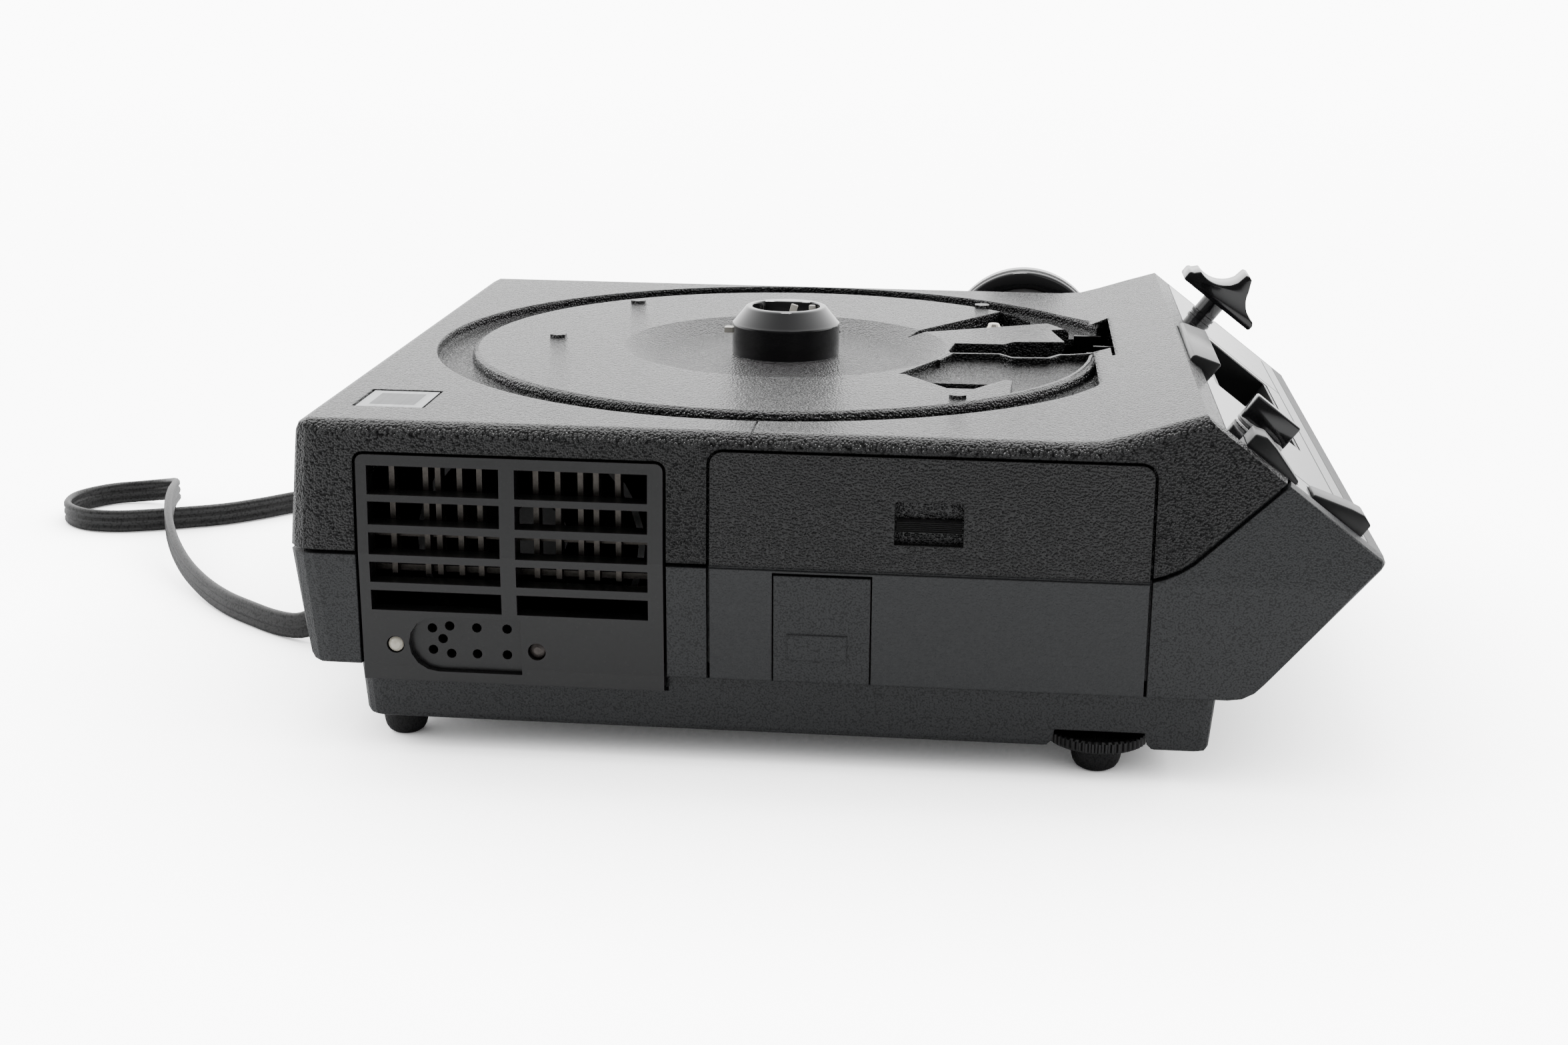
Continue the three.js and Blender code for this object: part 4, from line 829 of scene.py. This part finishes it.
def build_buttons():
    """Wedge buttons and the long select bar, with softened edges"""
    settle(wedge_button(16, 36, True), "forward_wedge", "satin_black", "forward_button", ("forward_button",))
    settle(wedge_button(42, 62, False), "reverse_wedge", "satin_black", "reverse_button", ("reverse_button",))
    outline = [(2, -3.4), (11.8, -3.4), (11.8, 4.6), (11.1, 5.2), (2.6, 2.4), (2, 1.6)]
    bm = prism(outline, -12, 50, 0.45)
    bmesh.ops.transform(bm, matrix=PANEL @ ON_EDGE, verts=bm.verts)
    settle(bm, "select_rocker", "bar_grey", "select_bar", ("select_bar",))


LINE_FOOT, LINE_TOP = -0.02, 0.05


def build_panel_lines():
    """Thin dark lines inlaid in the polished panel"""
    bm = bmesh.new()
    for start, end in (((57.2, -122), (57.7, 121)), ((14.5, -121.6), (57.2, -121.1)), ((12.4, 56), (57.2, 56.4))):
        block(bm, (*start, LINE_FOOT), (*end, LINE_TOP))
    bmesh.ops.transform(bm, matrix=PANEL, verts=bm.verts)
    settle(bm, "panel_lines", "deep_black", "body")


FIELD_MARGIN = Vector((3.52, 3.74, 0.0))
FIELD_HEIGHT = 0.03


def build_badge():
    """Blank badge: a darker field laid on the pale plate"""
    low, high = (Vector(corner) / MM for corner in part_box("badge_plate"))
    foot, top = low + FIELD_MARGIN, high - FIELD_MARGIN
    bm = bmesh.new()
    block(bm, (foot.x, foot.y, high.z), (top.x, top.y, high.z + FIELD_HEIGHT))
    settle(bm, "badge_field", "badge_grey", "body")


# ---------------------------------------------------------------- wheel and feet

WHEEL_TEETH = 48
WHEEL_SIDES = 4 * WHEEL_TEETH       # two points on each tooth and two in each gap


def knurled_loop(radius, depth, z, centre):
    """Toothed outline of a wheel at one height"""
    points = []
    for i in range(WHEEL_SIDES):
        reach = radius - (depth if i % 4 in (2, 3) else 0.0)
        angle = 2 * math.pi * (i + (0.25 if i % 2 else 0.0)) / WHEEL_SIDES
        points.append(tuple(well(centre[0] + reach * math.cos(angle), centre[1] + reach * math.sin(angle), z)))
    return points


def build_wheel(name, node, centre, radius, low, high, bore):
    """Knurled wheel with a bore, its rim chamfered above and below"""
    bm = bmesh.new()
    loops = [knurled_loop(r, d, z, centre) for r, d, z in (
        (radius - 0.9, 0.1, low), (radius, 0.7, low + 0.5), (radius, 0.7, high - 0.5), (radius - 0.9, 0.1, high))]
    turn = 2 * math.pi / WHEEL_SIDES
    loops += [[tuple(well(centre[0] + bore * math.cos(turn * i), centre[1] + bore * math.sin(turn * i), z))
               for i in range(WHEEL_SIDES)] for z in (high, low)]
    rings = [ring_of(bm, loop) for loop in loops]
    for lower, upper in zip(rings, rings[1:] + rings[:1]):
        bmesh.ops.bridge_loops(bm, edges=lower + upper)
    settle(bm, name, "satin_black", node, (node,), 30)


FOOT_DOMES = [
    ("level_dome", "level_foot", "level_foot", LEVELLER_PLACE,
     [(0, 0), (3.6, 0), (5.2, 0.5), (6.6, 1.4), (7.5, 2.8), (8.0, 4.4), (8.2, 6.2), (8.2, 9.4), (4, 9.8), (4, 27),
      (0, 27)]),
    ("front_dome", "stand_foot", "stand_foot", STAND_PLACE,
     [(0, 0), (7.6, 0), (9.0, 0.5), (9.8, 1.4), (10, 2.2), (10, 3.2), (4, 4.2), (4, 27.5), (0, 27.5)]),
    ("rear_dome", "body", "rear_foot", REAR_FOOT_PLACE,
     [(0, 0), (3.6, 0), (4.8, 0.4), (5.9, 1.2), (6.7, 2.5), (7.2, 4.2), (7.45, 6), (7.6, 11.3), (0, 11.3)]),
]


def build_feet():
    """Knurled levelling wheels and domed rubber feet"""
    build_wheel("levelling_wheel", "level_wheel", LEVELLER_PLACE, 16.4, 10.3, 14.3, 4.3)
    build_wheel("front_wheel", "stand_wheel", STAND_PLACE, 13.0, 6.4, 11.4, 4.4)
    for name, body, node, place, profile in FOOT_DOMES:
        settle(lathe(profile, WELL @ moved(*place), 64), name, "foot_rubber", body, (node,))


# ---------------------------------------------------------------- operators

class ProjectorStep:
    """Shared layout of the build steps"""
    bl_options = {"REGISTER", "UNDO"}


class PROJECTOR_OT_stage(ProjectorStep, bpy.types.Operator):
    """Camera, floor and soft studio light"""
    bl_idname = "projector.stage"
    bl_label = "Stage"

    def execute(self, context):
        build_camera()
        build_surroundings()
        build_lights()
        return {"FINISHED"}


class PROJECTOR_OT_finishes(ProjectorStep, bpy.types.Operator):
    """Plastics, metals, rubber and glass, and the frame nodes that wear them"""
    bl_idname = "projector.finishes"
    bl_label = "Finishes"

    def execute(self, context):
        build_materials()
        finish_frame_nodes()
        return {"FINISHED"}


class PROJECTOR_OT_cord(ProjectorStep, bpy.types.Operator):
    """Flat mains cord, its coil and its plug"""
    bl_idname = "projector.cord"
    bl_label = "Mains cord"

    def execute(self, context):
        cord, path, length = build_cord()
        list(build_plug())
        return {"FINISHED"}


class PROJECTOR_OT_hub(ProjectorStep, bpy.types.Operator):
    """Tray hub with its catches and the painted shade of its slot"""
    bl_idname = "projector.hub"
    bl_label = "Tray hub"

    def execute(self, context):
        build_hub()
        return {"FINISHED"}


class PROJECTOR_OT_lens(ProjectorStep, bpy.types.Operator):
    """Lens front ring and front glass"""
    bl_idname = "projector.lens"
    bl_label = "Lens"

    def execute(self, context):
        build_lens()
        return {"FINISHED"}


class PROJECTOR_OT_controls(ProjectorStep, bpy.types.Operator):
    """Knobs, wedge buttons, select bar and panel lines"""
    bl_idname = "projector.controls"
    bl_label = "Controls"

    def execute(self, context):
        build_focus_knob()
        build_mode_knob()
        build_buttons()
        build_panel_lines()
        build_badge()
        return {"FINISHED"}


class PROJECTOR_OT_feet(ProjectorStep, bpy.types.Operator):
    """Levelling wheels and rubber feet"""
    bl_idname = "projector.feet"
    bl_label = "Wheels and feet"

    def execute(self, context):
        build_feet()
        return {"FINISHED"}


STEPS = (PROJECTOR_OT_stage, PROJECTOR_OT_finishes, PROJECTOR_OT_cord, PROJECTOR_OT_hub, PROJECTOR_OT_lens,
         PROJECTOR_OT_controls, PROJECTOR_OT_feet)


class PROJECTOR_PT_panel(bpy.types.Panel):
    """Sizes, colours and build steps of the projector"""
    bl_idname = "PROJECTOR_PT_panel"
    bl_label = "Slide Projector"
    bl_space_type = "VIEW_3D"
    bl_region_type = "UI"
    bl_category = "Projector"

    def draw(self, context):
        layout = self.layout
        for group in (context.scene.projector_colours, context.scene.projector_sizes):
            for name in group.__annotations__:
                layout.prop(group, name)
        for step in STEPS:
            layout.operator(step.bl_idname)


CLASSES = (ProjectorColours, ProjectorSizes, *STEPS, PROJECTOR_PT_panel)


def register():
    for cls in CLASSES:
        bpy.utils.register_class(cls)
    bpy.types.Scene.projector_colours = bpy.props.PointerProperty(type=ProjectorColours)
    bpy.types.Scene.projector_sizes = bpy.props.PointerProperty(type=ProjectorSizes)


def unregister():
    del bpy.types.Scene.projector_sizes
    del bpy.types.Scene.projector_colours
    for cls in reversed(CLASSES):
        bpy.utils.unregister_class(cls)


def main():
    """Run every build step in order"""
    register()
    for step in STEPS:
        section, name = step.bl_idname.split(".")
        getattr(getattr(bpy.ops, section), name)()


if __name__ == "__main__":
    main()
